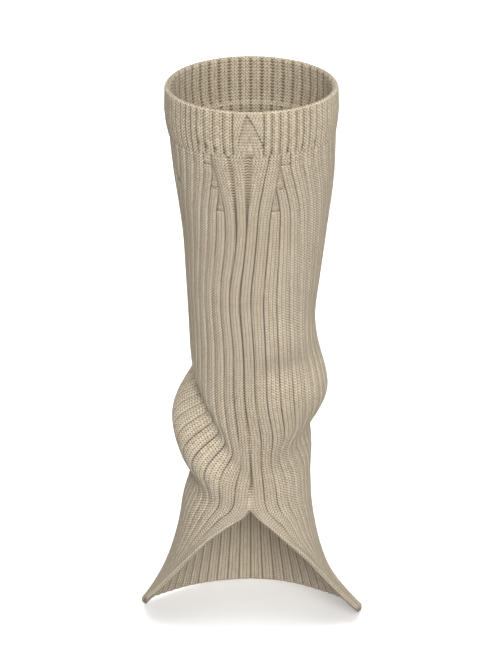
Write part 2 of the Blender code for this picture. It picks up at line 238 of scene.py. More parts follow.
GROOVE_OPENNESS = NumberTable(
    ("run", "front", "near", "right", "left", "back"),
    (
        (0, 1.10, 1.05, 0.65, 0.65, 0.50),
        (40, 1.25, 1.00, 0.45, 0.40, 0.50),
        (70, 1.20, 0.70, 0.30, 0.22, 0.50),
        (130, 1.20, 0.95, 0.38, 0.28, 0.50),
        (175, 1.20, 1.10, 0.95, 0.50, 0.60),
        (205, 0.95, 1.10, 1.10, 0.50, 0.70),
        (230, 0.75, 0.90, 1.00, 0.45, 0.65),
        (250, 0.85, 0.95, 0.90, 0.55, 0.65),
        (266, 1.15, 1.10, 0.85, 0.85, 0.65),
        (300, 1.10, 1.05, 0.80, 0.80, 0.60),
        (376, 0.80, 0.80, 0.70, 0.70, 0.60),
    ),
)
OPENNESS_TURNS = {
    -130: "back", -65: "left", -35: "near", -15: "front",
    15: "front", 35: "near", 65: "right", 130: "back",
}

CUFF_RINGS = NumberTable(
    ("height", "left_drop", "front_reach", "right_reach", "back_reach", "left_reach"),
    (
        (356.0, 2.0, 61.9, 58.3, 64.9, 56.1),
        (359.3, 2.0, 62.2, 58.6, 65.2, 56.4),
        (362.0, 2.0, 62.7, 59.0, 65.8, 57.1),
        (367.0, 1.6, 63.5, 59.7, 66.6, 58.3),
        (376.0, 1.0, 64.4, 60.4, 67.6, 59.3),
        (388.5, 0.0, 65.0, 60.0, 69.2, 59.0),
        (391.0, 0.0, 65.0, 60.0, 69.2, 59.0),
    ),
)

CUFF_LADDERS = (
    -72.0, -66.0, -60.0, -54.5, -49.0, -44.0, -39.0, -33.0, -26.0, -18.8, -12.2,
    8.6, 14.0, 19.6, 25.5, 31.5, 37.0, 42.5, 48.5, 54.5, 60.5, 66.5, 72.5,
)

PINCHES = NumberTable(
    ("azimuth", "height", "depth", "spread"),
    (
        (-46, 366.0, 0.8, 1.8),
        (-38, 366.5, 1.1, 2.0),
        (-32, 364.5, 1.3, 1.8),
        (-25, 363.0, 1.2, 2.0),
        (-18, 362.0, 1.0, 2.0),
        (14, 361.5, 0.9, 1.8),
        (25, 362.0, 0.9, 1.8),
        (37, 363.0, 0.9, 2.0),
        (48, 364.0, 0.8, 1.8),
    ),
)

TUCKS = NumberTable(
    ("azimuth", "run", "half_turn", "half_run", "depth"),
    (
        (-70, 30.0, 4.2, 3.2, 1.0),
        (-74, 22.0, 3.0, 1.6, 0.6),
        (-52, 5.0, 1.6, 2.4, 0.6),
        (46, 5.5, 1.6, 3.0, 0.6),
    ),
)

STRETCHES = NumberTable(
    ("azimuth", "run", "half_turn", "half_run", "rise"),
    (
        (-66, 222, 34.0, 28.0, 0.14),
        (-40, 247, 22.0, 15.0, 0.16),
        (60, 196, 24.0, 14.0, 0.07),
    ),
)


@dataclass(frozen=True)
class YarnFinishAndShade:
    """A heathered wool-blend yarn: its three tones, its painted shade between the yarns and in the
    grooves, and how the knitted cloth takes light.
    """

    name: str
    middle: tuple[float, float, float]
    dark: tuple[float, float, float]
    light: tuple[float, float, float]
    # Painted shade: the first colour below darkens the spaces between yarns, the second the bottoms
    # of grooves and ladders.
    gap: tuple[float, float, float] = (0.165, 0.1, 0.043)
    groove_shade: tuple[float, float, float] = (0.07, 0.038, 0.014)
    knit_depth: float = 1.0
    roughness: float = 0.95
    sheen: float = 0.08
    stitch_depth: float = 0.00055
    fuzz_depth: float = 0.00025


TUBE_YARN = YarnFinishAndShade(
    "leg_tube_knit",
    middle=(0.65, 0.57, 0.442),
    dark=(0.525, 0.45, 0.332),
    light=(0.76, 0.688, 0.577),
)
CUFF_YARN = YarnFinishAndShade(
    "cuff_knit",
    middle=(0.605, 0.53, 0.405),
    dark=(0.48, 0.408, 0.3),
    light=(0.73, 0.66, 0.54),
    knit_depth=0.8,
)


@dataclass
class Wiring:
    """A node tree being wired up, for a material, a shader group or a Geometry Nodes tree."""

    tree: bpy.types.NodeTree

    def node(
        self, kind: str, given: Optional[dict[Union[str, int], object]] = None, **settings: object
    ) -> bpy.types.Node:
        """Add a node, set its properties and feed its inputs.

        Args:
            kind: The node's type name in Blender.
            given: Sockets or plain values for its inputs, by name or number.
            settings: Properties to set on it.

        Returns:
            The new node.
        """
        made = self.tree.nodes.new(kind)
        for name, value in settings.items():
            setattr(made, name, value)
        for place, value in (given or {}).items():
            self.feed(made.inputs[place], value)
        return made

    def feed(self, socket: Socket, value: object) -> None:
        """Link a socket to another, or give it a plain value."""
        if isinstance(value, bpy.types.NodeSocket):
            self.tree.links.new(value, socket)
        else:
            socket.default_value = value

    def math(
        self, operation: str, first: Value, second: Value = 0.0, third: Value = 0.0
    ) -> Socket:
        """Add a Math node on up to three values and return its result."""
        given = {0: first, 1: second, 2: third}
        return self.node("ShaderNodeMath", given, operation=operation).outputs[0]

    def ramp(
        self, value: Value, low: float, high: float, start: float = 0.0, end: float = 1.0
    ) -> Socket:
        """Return a value eased from start to end as it goes from low to high."""
        given = {"Value": value, "From Min": low, "From Max": high, "To Min": start, "To Max": end}
        return self.node("ShaderNodeMapRange", given, interpolation_type="SMOOTHSTEP").outputs[0]

    def mix_colour(self, share: Value, first: object, second: object) -> Socket:
        """Mix two colours by a share and return the result."""
        given = {0: share, 6: first, 7: second}
        return self.node("ShaderNodeMix", given, data_type="RGBA", blend_type="MIX").outputs[2]

    def noise(self, place: Socket, scale: Value, detail: float) -> Socket:
        """Add a noise texture and return its value."""
        given = {"Vector": place, "Scale": scale, "Detail": detail}
        return self.node("ShaderNodeTexNoise", given).outputs[0]


def make_group(
    name: str,
    kind: str,
    inputs: Sequence[tuple[str, str, object]],
    outputs: Sequence[tuple[str, str]],
) -> tuple[Wiring, bpy.types.Node, bpy.types.Node]:
    """Make a node group with named inputs and outputs.

    Args:
        name: The group's name.
        kind: "ShaderNodeTree" or "GeometryNodeTree".
        inputs: For each input its name, socket type and default, or None for no default.
        outputs: For each output its name and socket type.

    Returns:
        The wiring of the tree, its input node and its output node.
    """
    tree = bpy.data.node_groups.new(name, kind)
    for label, socket_type, default in inputs:
        socket = tree.interface.new_socket(name=label, in_out="INPUT", socket_type=socket_type)
        if default is not None:
            socket.default_value = default
    for label, socket_type in outputs:
        tree.interface.new_socket(name=label, in_out="OUTPUT", socket_type=socket_type)
    return Wiring(tree), tree.nodes.new("NodeGroupInput"), tree.nodes.new("NodeGroupOutput")


@dataclass
class KnitShading:
    """The shader groups that every knitted piece shares, built once."""

    stitch: bpy.types.NodeTree = field(init=False)
    heather: bpy.types.NodeTree = field(init=False)

    def __post_init__(self) -> None:
        """Build both groups."""
        self.stitch = self.build_stitch()
        self.heather = self.build_heather()

    def build_stitch(self) -> bpy.types.NodeTree:
        """Build the group of knit and purl stitches, placed by the cloth's wales and courses.

        Returns:
            A group from the stitch map and the rib's rise to a height and the painted shade between
            yarns.
        """
        wiring, given, result = make_group(
            "knit_stitches",
            "ShaderNodeTree",
            (
                ("Stitch map", "NodeSocketVector", None),
                ("Rise", "NodeSocketFloat", 1.0),
                ("Slant", "NodeSocketFloat", 0.62),
                ("Knit depth", "NodeSocketFloat", 1.0),
            ),
            (
                ("Height", "NodeSocketFloat"),
                ("Gap shade", "NodeSocketFloat"),
                ("Stitch tone", "NodeSocketFloat"),
            ),
        )
        rise = given.outputs["Rise"]
        parts = wiring.node("ShaderNodeSeparateXYZ", {0: given.outputs["Stitch map"]})
        across = parts.outputs[0]
        along = parts.outputs[1]
        # The knit side: slanted legs of yarn, with painted shade in small dots between them and along
        # the wales' edges.
        wale = self.wave(wiring, across)
        slanted = wiring.math("MULTIPLY_ADD", wale, given.outputs["Slant"], along)
        between = wiring.ramp(self.wave(wiring, slanted), 0.15, 0.85)
        middle = wiring.ramp(wale, 0.0, 0.55, 1.0, 0.0)
        edge = wiring.ramp(wale, 0.42, 0.92)
        inner_places = wiring.math("MULTIPLY_ADD", middle, 0.6, 0.3)
        places = wiring.math("MULTIPLY_ADD", edge, 0.6, inner_places)
        dots = wiring.math("MULTIPLY", between, places)
        stretched = wiring.ramp(rise, 1.03, 1.2, 1.0, 0.75)
        full = wiring.math("MULTIPLY", given.outputs["Knit depth"], stretched)
        dark = wiring.math("MULTIPLY_ADD", edge, 0.28, dots)
        knit = wiring.math("MULTIPLY", dark, full)
        # The purl side, in the grooves: bars of yarn with wider spaces of painted shade.
        zigzag = wiring.math("MULTIPLY_ADD", wale, 0.5, along)
        bars = wiring.ramp(self.wave(wiring, zigzag), 0.3, 0.85)
        depth = wiring.ramp(rise, 0.4, 0.58, 0.85, 0.5)
        floor = wiring.ramp(rise, 0.3, 0.6, 0.26, 0.06)
        purl = wiring.math("MULTIPLY_ADD", bars, depth, floor)
        knitted = wiring.ramp(rise, 0.6, 0.8)
        # The mix is the painted shade between yarns, and turned over it is the stitches' bump height.
        mixed = wiring.node("ShaderNodeMix", {0: knitted, 2: purl, 3: knit}, data_type="FLOAT")
        wiring.feed(result.inputs["Gap shade"], mixed.outputs[0])
        wiring.feed(result.inputs["Height"], wiring.math("SUBTRACT", 1.0, mixed.outputs[0]))
        # One tone for each leg of each stitch.
        leg = wiring.math("FLOOR", wiring.math("MULTIPLY", across, 2.0))
        cell = wiring.node("ShaderNodeCombineXYZ", {0: leg, 1: wiring.math("FLOOR", slanted)})
        chance = wiring.node(
            "ShaderNodeTexWhiteNoise", {"Vector": cell.outputs[0]}, noise_dimensions="2D"
        )
        wiring.feed(result.inputs["Stitch tone"], chance.outputs["Value"])
        return wiring.tree

    @staticmethod
    def wave(wiring: Wiring, value: Socket) -> Socket:
        """Return a wave that is 0 half way between whole numbers and 1 at them."""
        spread = wiring.math("MULTIPLY_ADD", wiring.math("FRACT", value), 2.0, -1.0)
        return wiring.math("ABSOLUTE", spread)

    def build_heather(self) -> bpy.types.NodeTree:
        """Build the group of the yarn's own mottling.

        Returns:
            A group from a place on the object to a tone from dark to light and a fine fuzz height.
        """
        wiring, given, result = make_group(
            "heathered_yarn",
            "ShaderNodeTree",
            (
                ("Place", "NodeSocketVector", None),
                ("Fibre scale", "NodeSocketFloat", 1500.0),
                ("Blend scale", "NodeSocketFloat", 800.0),
                ("Cloth scale", "NodeSocketFloat", 30.0),
            ),
            (("Tone", "NodeSocketFloat"), ("Fuzz", "NodeSocketFloat")),
        )
        place = given.outputs["Place"]
        fibre = wiring.noise(place, given.outputs["Fibre scale"], 2.0)
        blend = wiring.noise(place, given.outputs["Blend scale"], 3.0)
        cloth = wiring.noise(place, given.outputs["Cloth scale"], 3.0)
        fine = wiring.math("MULTIPLY_ADD", fibre, 0.55, wiring.math("MULTIPLY", blend, 0.45))
        whole = wiring.math("MULTIPLY_ADD", cloth, 0.3, fine)
        wiring.feed(result.inputs["Tone"], wiring.math("SUBTRACT", whole, 0.15))
        wiring.feed(result.inputs["Fuzz"], fibre)
        return wiring.tree


@dataclass
class KnitMaterial:
    """A knitted cloth's material, made from its yarn and the shared shader groups."""

    yarn: YarnFinishAndShade
    shading: KnitShading

    def build(self) -> bpy.types.Material:
        """Build the material.

        Returns:
            A material that reads the piece's stitch map, its rise attribute and Object coordinates,
            and paints shade between the yarns and at the bottoms of the grooves.
        """
        material = bpy.data.materials.new(self.yarn.name)
        material.use_nodes = True
        material.node_tree.nodes.clear()
        wiring = Wiring(material.node_tree)
        stitch_map = wiring.node("ShaderNodeUVMap", uv_map="stitch_map")
        attribute = wiring.node(
            "ShaderNodeAttribute", attribute_type="GEOMETRY", attribute_name="rise"
        )
        rise = attribute.outputs["Fac"]
        stitch = wiring.node(
            "ShaderNodeGroup",
            {
                "Stitch map": stitch_map.outputs[0],
                "Rise": rise,
                "Knit depth": self.yarn.knit_depth,
            },
            node_tree=self.shading.stitch,
        )
        gap = stitch.outputs["Gap shade"]
        place = wiring.node("ShaderNodeTexCoord").outputs["Object"]
        heather = wiring.node("ShaderNodeGroup", {"Place": place}, node_tree=self.shading.heather)
        chance = wiring.math("SUBTRACT", stitch.outputs["Stitch tone"], 0.5)
        tone = wiring.math("MULTIPLY_ADD", chance, 0.42, heather.outputs["Tone"])
        yarn = self.mottled(wiring, tone)
        # Painted shade between the yarns, darkening the yarn by the stitch group's mix.
        between = wiring.math("MULTIPLY", gap, 0.85)
        gap_shaded = wiring.mix_colour(between, yarn, (*self.yarn.gap, 1))
        # Painted shade at the bottoms of grooves and ladders, where the rise is low, broken into dots
        # by the purl bars.
        sunk = wiring.ramp(rise, 0.0, 0.34, 0.95, 0.0)
        dotted = wiring.math("MULTIPLY_ADD", gap, 0.55, 0.42)
        shaded = wiring.math("MULTIPLY", sunk, dotted)
        shade = wiring.mix_colour(shaded, gap_shaded, (*self.yarn.groove_shade, 1))
        self.finish(wiring, shade, heather.outputs["Fuzz"], stitch.outputs["Height"])
        return material

    def mottled(self, wiring: Wiring, tone: Socket) -> Socket:
        """Return the yarn's colour from its tone, from dark through middle to light."""
        dark = (*self.yarn.dark, 1)
        lower = wiring.mix_colour(wiring.ramp(tone, 0.2, 0.5), dark, (*self.yarn.middle, 1))
        return wiring.mix_colour(wiring.ramp(tone, 0.5, 0.85), lower, (*self.yarn.light, 1))

    def finish(self, wiring: Wiring, shade: Socket, fuzz: Socket, stitches: Socket) -> None:
        """Add the two bumps, the shader and the output.

        Args:
            wiring: The material's wiring.
            shade: The colour, with its painted shade between yarns and in the grooves.
            fuzz: The height of the yarn's fuzz.
            stitches: The height of the stitches.
        """
        fuzzed = wiring.node(
            "ShaderNodeBump",
            {"Strength": 0.7, "Distance": self.yarn.fuzz_depth, "Height": fuzz},
        )
        bumped = wiring.node(
            "ShaderNodeBump",
            {
                "Strength": 1.0,
                "Distance": self.yarn.stitch_depth,
                "Height": stitches,
                "Normal": fuzzed.outputs[0],
            },
        )
        shader = wiring.node(
            "ShaderNodeBsdfPrincipled",
            {
                "Roughness": self.yarn.roughness,
                "Specular IOR Level": 0.1,
                "Sheen Weight": self.yarn.sheen,
                "Sheen Roughness": 0.5,
                "Base Color": shade,
                "Normal": bumped.outputs[0],
            },
        )
        wiring.node("ShaderNodeOutputMaterial", {"Surface": shader.outputs[0]})


@dataclass
class ClothMesh:
    """A closed cloth mesh being gathered: points, rise, outward directions, faces and stitch map."""

    points: list[np.ndarray] = field(default_factory=list)
    rises: list[np.ndarray] = field(default_factory=list)
    outwards: list[np.ndarray] = field(default_factory=list)
    faces: list[tuple[int, ...]] = field(default_factory=list)
    corners: list[tuple[float, float]] = field(default_factory=list)
    count: int = 0

    def add_row(self, points: np.ndarray, rise: np.ndarray, outward: np.ndarray) -> np.ndarray:
        """Add a row of points.

        Args:
            points: Places in mm, on the level of the rib tops.
            rise: How far each point is raised to that level, 0 in a groove and 1 on a rib; low rises
                take painted shade.
            outward: The direction out of the cloth at each point, of length 1 for the full relief.

        Returns:
            The vertex numbers of the row.
        """
        self.points.append(np.asarray(points, float))
        self.rises.append(np.asarray(rise, float))
        self.outwards.append(np.asarray(outward, float))
        first = self.count
        self.count += len(points)
        return np.arange(first, self.count)

    def add_face(
        self, numbers: Sequence[int], places: Sequence[Sequence[float]], flip: bool = False
    ) -> None:
        """Add one face.

        Args:
            numbers: The vertex numbers of its corners.
            places: The stitch-map place of each corner.
            flip: True for a face that faces the other way.
        """
        turn = -1 if flip else 1
        self.faces.append(tuple(int(number) for number in numbers[::turn]))
        self.corners.extend((float(place[0]), float(place[1])) for place in places[::turn])

    def add_strip(
        self,
        upper: np.ndarray,
        lower: np.ndarray,
        upper_map: np.ndarray,
        lower_map: np.ndarray,
        flip: bool = False,
    ) -> None:
        """Add the quads between two rows of equal length.

        Args:
            upper: Vertex numbers of the first row.
            lower: Vertex numbers of the second row.
            upper_map: Stitch-map places of the first row.
            lower_map: Stitch-map places of the second row.
            flip: True for a strip that faces the other way.
        """
        for i in range(len(upper) - 1):
            numbers = [upper[i], lower[i], lower[i + 1], upper[i + 1]]
            places = [upper_map[i], lower_map[i], lower_map[i + 1], upper_map[i + 1]]
            self.add_face(numbers, places, flip)

    def add_seam(
        self,
        outer: np.ndarray,
        outer_places: np.ndarray,
        inner: np.ndarray,
        inner_places: np.ndarray,
        course: float,
        flip: bool = False,
    ) -> None:
        """Close an edge between an outer and an inner row with different numbers of points.

        Args:
            outer: Vertex numbers of the outer row.
            outer_places: Where each outer point lies across the ribs.
            inner: Vertex numbers of the inner row.
            inner_places: Where each inner point lies across the ribs.
            course: The stitch map's second coordinate along the edge.
            flip: True for an edge that faces the other way.
        """
        i = 0
        j = 0
        while i < len(inner) - 1 or j < len(outer) - 1:
            next_inner = inner_places[i + 1] if i < len(inner) - 1 else math.inf
            next_outer = outer_places[j + 1] if j < len(outer) - 1 else math.inf
            if next_outer <= next_inner:
                numbers = [inner[i], outer[j], outer[j + 1]]
                places = [inner_places[i], outer_places[j], outer_places[j + 1]]
                j += 1
            else:
                numbers = [inner[i], outer[j], inner[i + 1]]
                places = [inner_places[i], outer_places[j], inner_places[i + 1]]
                i += 1
            self.add_face(numbers, [(place * WALES_A_RIB, course) for place in places], flip)

    def build(self, name: str) -> bpy.types.Object:
        """Make the mesh object, placed about the hold on the calf.

        Args:
            name: The object's name.

        Returns:
            The object, with its stitch map and its rise and outward attributes.
        """
        mesh = bpy.data.meshes.new(name)
        mesh.from_pydata(about_the_hold(np.concatenate(self.points)), [], self.faces)
        rise = mesh.attributes.new("rise", "FLOAT", "POINT")
        rise.data.foreach_set("value", np.concatenate(self.rises).astype(np.float32))
        outward = mesh.attributes.new("outward", "FLOAT_VECTOR", "POINT")
        directions = np.concatenate(self.outwards).astype(np.float32)
        outward.data.foreach_set("vector", directions.ravel())
        layer = mesh.uv_layers.new(name="stitch_map")
        layer.data.foreach_set("uv", np.array(self.corners, np.float32).ravel())
        mesh.shade_smooth()
        return put_in_scene(name, mesh)


class GeometryTrees:
    """The Geometry Nodes trees: ribs raised in cloth, stitches along a line, and loose fibres."""

    def __init__(self) -> None:
        """Build every tree once."""
        self.ribs = self.build_ribs()
        self.link = self.build_link()
        self.fibres = self.build_fibres()

    @staticmethod
    def finish_tree(wiring: Wiring, geometry: Socket, material: Value, result: Socket) -> None:
        """End a tree in Realize Instances and Set Material."""
        realised = wiring.node("GeometryNodeRealizeInstances", {0: geometry})
        dressed = wiring.node(
            "GeometryNodeSetMaterial", {"Geometry": realised.outputs[0], "Material": material}
        )
        wiring.feed(result, dressed.outputs[0])

    @staticmethod
    def leaning(
        wiring: Wiring, rotation: Socket, turns: tuple[float, float, float], seed: Value
    ) -> Socket:
        """Return a rotation turned by a random lean about its own axes.

        Args:
            wiring: The tree's wiring.
            rotation: The rotation that each point has.
            turns: The most that it may turn either way about each axis, in radians.
            seed: The seed of the draw.

        Returns:
            The turned rotation.
        """
        lean = wiring.node(
            "FunctionNodeRandomValue",
            {"Min": tuple(-turn for turn in turns), "Max": turns, "Seed": seed},
            data_type="FLOAT_VECTOR",
        )
        as_rotation = wiring.node("FunctionNodeEulerToRotation", {0: lean.outputs[0]})
        turned = wiring.node(
            "FunctionNodeRotateRotation",
            {0: rotation, 1: as_rotation.outputs[0]},
            rotation_space="LOCAL",
        )
        return turned.outputs[0]

    def build_ribs(self) -> bpy.types.NodeTree:
        """Build the tree that sinks the grooves between ribs, so that the ribs stand up.

        Returns:
            A tree from the plain shell, with its rise and outward attributes, to the ribbed one.
        """
        wiring, given, result = make_group(
            "raise_ribs",
            "GeometryNodeTree",
            (
                ("Geometry", "NodeSocketGeometry", None),
                ("Rib relief", "NodeSocketFloat", 0.0018),
                ("Material", "NodeSocketMaterial", None),
            ),
            (("Geometry", "NodeSocketGeometry"),),
        )
        rise = wiring.node("GeometryNodeInputNamedAttribute", {0: "rise"}, data_type="FLOAT")
        outward = wiring.node(
            "GeometryNodeInputNamedAttribute", {0: "outward"}, data_type="FLOAT_VECTOR"
        )
        sunk = wiring.math("SUBTRACT", rise.outputs[0], 1.0)
        depth = wiring.math("MULTIPLY", sunk, given.outputs["Rib relief"])
        scaled = wiring.node(
            "ShaderNodeVectorMath", {0: outward.outputs[0], "Scale": depth}, operation="SCALE"
        )
        moved = wiring.node(
            "GeometryNodeSetPosition",
            {"Geometry": given.outputs["Geometry"], "Offset": scaled.outputs[0]},
        )
        self.finish_tree(wiring, moved.outputs[0], given.outputs["Material"], result.inputs[0])
        return wiring.tree

    def build_link(self) -> bpy.types.NodeTree:
        """Build the tree that sets short yarn loops along a seam line.

        Returns:
            A tree from a line of points to a row of realised loops.
        """
        wiring, given, result = make_group(
            "link_stitches",
            "GeometryNodeTree",
            (
                ("Geometry", "NodeSocketGeometry", None),
                ("Loops", "NodeSocketInt", 220),
                ("Yarn radius", "NodeSocketFloat", 0.00055),
                ("Loop length", "NodeSocketFloat", 0.0021),
                ("Seed", "NodeSocketInt", 5),
                ("Material", "NodeSocketMaterial", None),
            ),
            (("Geometry", "NodeSocketGeometry"),),
        )
        line = wiring.node("GeometryNodeMeshToCurve", {0: given.outputs["Geometry"]})
        points = wiring.node(
            "GeometryNodeCurveToPoints",
            {"Curve": line.outputs[0], "Count": given.outputs["Loops"]},
            mode="COUNT",
        )
        radius = given.outputs["Yarn radius"]
        ball = wiring.node(
            "GeometryNodeMeshUVSphere", {"Segments": 6, "Rings": 4, "Radius": radius}
        )
        across = wiring.math("MULTIPLY", radius, 2.0)
        stretch = wiring.math("DIVIDE", given.outputs["Loop length"], across)
        size = wiring.node("ShaderNodeCombineXYZ", {0: 1.0, 1: 1.0, 2: stretch})
        turned = self.leaning(
            wiring, points.outputs["Rotation"], (0.25, 0.25, 0.25), given.outputs["Seed"]
        )
        set_out = wiring.node(
            "GeometryNodeInstanceOnPoints",
            {
                "Points": points.outputs["Points"],
                "Instance": ball.outputs[0],
                "Rotation": turned,
                "Scale": size.outputs[0],
            },
        )
        smooth = wiring.node("GeometryNodeSetShadeSmooth", {0: set_out.outputs[0]})
        self.finish_tree(wiring, smooth.outputs[0], given.outputs["Material"], result.inputs[0])
        return wiring.tree

    def build_fibres(self) -> bpy.types.NodeTree:
        """Build the tree that scatters short loose fibres over knitted cloth.

        Returns:
            A tree from a cloth surface to its realised fibres alone.
        """
        wiring, given, result = make_group(
            "loose_fibres",
            "GeometryNodeTree",
            (
                ("Geometry", "NodeSocketGeometry", None),
                ("Density", "NodeSocketFloat", 120000.0),
                ("Fibre length", "NodeSocketFloat", 0.0022),
                ("Fibre radius", "NodeSocketFloat", 0.00004),
                ("Lowest", "NodeSocketFloat", -0.3715),
                ("Seed", "NodeSocketInt", 11),
                ("Material", "NodeSocketMaterial", None),
            ),
            (("Geometry", "NodeSocketGeometry"),),
        )
        position = wiring.node("GeometryNodeInputPosition")
        place = wiring.node("ShaderNodeSeparateXYZ", {0: position.outputs[0]})
        off_floor = wiring.math("GREATER_THAN", place.outputs[2], given.outputs["Lowest"])
        scattered = wiring.node(
            "GeometryNodeDistributePointsOnFaces",
            {
                "Mesh": given.outputs["Geometry"],
                "Selection": off_floor,
                "Density": given.outputs["Density"],
                "Seed": given.outputs["Seed"],
            },
            distribute_method="RANDOM",
        )
        fibre = wiring.node(
            "GeometryNodeMeshCone",
            {
                "Vertices": 3,
                "Radius Bottom": given.outputs["Fibre radius"],
                "Radius Top": 0.0,
                "Depth": given.outputs["Fibre length"],
            },
        )
        turned = self.leaning(
            wiring, scattered.outputs["Rotation"], (1.25, 1.25, 3.1), given.outputs["Seed"]
        )
        size = wiring.node("FunctionNodeRandomValue", {2: 0.4, 3: 1.0}, data_type="FLOAT")
        set_out = wiring.node(
            "GeometryNodeInstanceOnPoints",
            {
                "Points": scattered.outputs["Points"],
                "Instance": fibre.outputs[0],
                "Rotation": turned,
                "Scale": size.outputs[1],
            },
        )
        self.finish_tree(wiring, set_out.outputs[0], given.outputs["Material"], result.inputs[0])
        return wiring.tree


def realise(
    piece: bpy.types.Object, tree: bpy.types.NodeTree, name: str, values: dict[str, object]
) -> bpy.types.Object:
    """Run a Geometry Nodes tree on an object and keep its result as a plain mesh.

    Args:
        piece: The object that the tree starts from. It is removed.
        tree: The tree.
        name: The finished piece's name.
        values: The tree's inputs by name.

    Returns:
        A new object that holds the result, at the origin.
    """
    modifier = piece.modifiers.new("shape", "NODES")
    modifier.node_group = tree
    for item in tree.interface.items_tree:
        if item.item_type == "SOCKET" and item.in_out == "INPUT" and item.name in values:
            modifier[item.identifier] = values[item.name]
    piece.update_tag()
    bpy.context.view_layer.update()
    evaluated = piece.evaluated_get(bpy.context.evaluated_depsgraph_get())
    mesh = bpy.data.meshes.new_from_object(evaluated)
    mesh.name = name
    piece.modifiers.remove(modifier)
    bpy.data.objects.remove(piece, do_unlink=True)
    return put_in_scene(name, mesh)


@dataclass
class TubeShape:
    """The worn form of the leg tube: its sections, folds and ribs."""

    length: float = 376.0
    apex_run: float = 266.0
    plain_ribs: int = 16
    fine_arc: int = 180
    hem_pointing: float = 1.1
    back_to_side_at_hem: float = 2.2
    start_runs: tuple[float, ...] = (-6.0, -4.8, -3.4, -1.6, -0.8, 0.2, 1.4, 6.5)
    start_rises: tuple[float, ...] = (0.85, 0.4, 1.15, 0.95, 0.22, 0.28, 1.2, 1.0)
    start_curve: float = 1.6
    short_rib_starts: tuple[float, float, float] = (43.0, 26.0, 9.0)
    gather: float = 0.36
    gather_rib: float = 3.5
    gather_spread: float = 4.5
    gather_run: float = 226.0
    gather_reach: float = 30.0
    smooth_turn_run: float = 274.0
    smooth_turn_blend: float = 8.0
    hem_widening_run: float = 250.0
    hem_pointing_run: float = 290.0
    narrowest_rib: float = 0.4

    def opening_turn(self, side: Side, run: np.ndarray) -> np.ndarray:
        """Return how far, in degrees from the front, the opening's edge has turned."""
        name = side.value + "_turn"
        past = np.asarray(run) - self.smooth_turn_run
        smooth = np.clip(past / self.smooth_turn_blend, 0.0, 1.0)
        turned = SECTIONS.straight(name, run) * (1.0 - smooth) + SECTIONS.at(name, run) * smooth
        return np.where(run <= self.apex_run, 0.0, np.maximum(turned, 0.0))

    @staticmethod
    def fold_effect(azimuth: np.ndarray, run: np.ndarray, effect: str) -> np.ndarray:
        """Sum what all the folds do at each place.

        Args:
            azimuth: Degrees from the front towards the right.
            run: Cloth in mm from the cuff seam.
            effect: "out", "lift" or "twist".

        Returns:
            The sum at each place.
        """
        total = np.zeros(np.broadcast(azimuth, run).shape)
        for fold in FOLDS.entries():
            if fold[effect] == 0.0:
                continue
            turn = turn_between(azimuth, fold["azimuth"])
            fade = np.cos(np.clip(turn / (1.5 * fold["spread"]), -1.0, 1.0) * math.pi / 2) ** 2
            distance = run - (fold["run"] + fold["slope"] * turn)
            width = np.where(distance < 0.0, fold["above"], fold["below"])
            total = total + fold[effect] * fade * np.exp(-((distance / width) ** 2))
        return total

    def surface(self, azimuth: np.ndarray, run: Union[float, np.ndarray]) -> np.ndarray:
        """Return the points of the rib tops, in mm, at azimuths in degrees and runs in mm."""
        azimuth = np.asarray(azimuth, float)
        run = np.asarray(run, float) + 0.0 * azimuth
        on_right = (azimuth % 360.0) < 180.0
        sine = np.sin(np.radians(azimuth))
        cosine = np.cos(np.radians(azimuth))
        in_front = cosine >= 0.0
        right_turn = self.opening_turn(Side.RIGHT, run)
        turn = np.where(on_right, right_turn, self.opening_turn(Side.LEFT, run))
        edge_cosine = np.cos(np.radians(turn))
        reach = self.section("reach", run, on_right)
        ahead = self.section("forward", run, on_right) / edge_cosine
        side_height = self.section("height", run, on_right)
        edge_height = self.section("edge_height", run, on_right)
        share = np.where(in_front, cosine / edge_cosine, cosine) ** 2
        end_height = np.where(in_front, edge_height, SECTIONS.at("back_height", run))
        height = side_height + (end_height - side_height) * share
        past = (run - self.hem_pointing_run) / (self.length - self.hem_pointing_run)
        pointing = 1.0 + self.hem_pointing * np.clip(past, 0.0, 1.0)
        rounding = np.sign(cosine) * np.abs(cosine) ** np.where(in_front, 1.0, pointing)
        depth = np.where(in_front, ahead, SECTIONS.at("back_reach", run))
        out = self.fold_effect(azimuth, run, "out")
        x = (reach + out) * sine
        y = -(depth * rounding + out * cosine)
        return np.stack([x, y, height + self.fold_effect(azimuth, run, "lift")], -1)

    @staticmethod
    def section(name: str, run: np.ndarray, on_right: np.ndarray) -> np.ndarray:
        """Return one measure of the sections, from the right's or the left's column."""
        return np.where(on_right, SECTIONS.at("right_" + name, run), SECTIONS.at("left_" + name, run))

    def normal(self, azimuth: np.ndarray, run: float) -> np.ndarray:
        """Return the unit directions out of the cloth."""
        runs = np.full(azimuth.shape, run)
        crosses = abs(run - self.apex_run) < 1.0
        low = self.apex_run - 1.0 if crosses else max(run - 0.5, 0.0)
        high = self.apex_run if crosses else min(run + 0.5, self.length)
        along = self.surface(azimuth, high) - self.surface(azimuth, low)
        around = self.surface(azimuth + 0.5, runs) - self.surface(azimuth - 0.5, runs)
        normal = np.cross(along, around)
        return normal / np.linalg.norm(normal, axis=-1, keepdims=True)

    def shaped_widths(self, side: Side, run: float) -> np.ndarray:
        """Return the widths of one side's five shaped ribs at one run."""
        names = (side.value + "_first", side.value + "_second", "low", "middle", "high")
        widths = [float(RIB_WIDTHS.at(name, np.array(run))) for name in names]
        return np.maximum(widths, self.narrowest_rib)

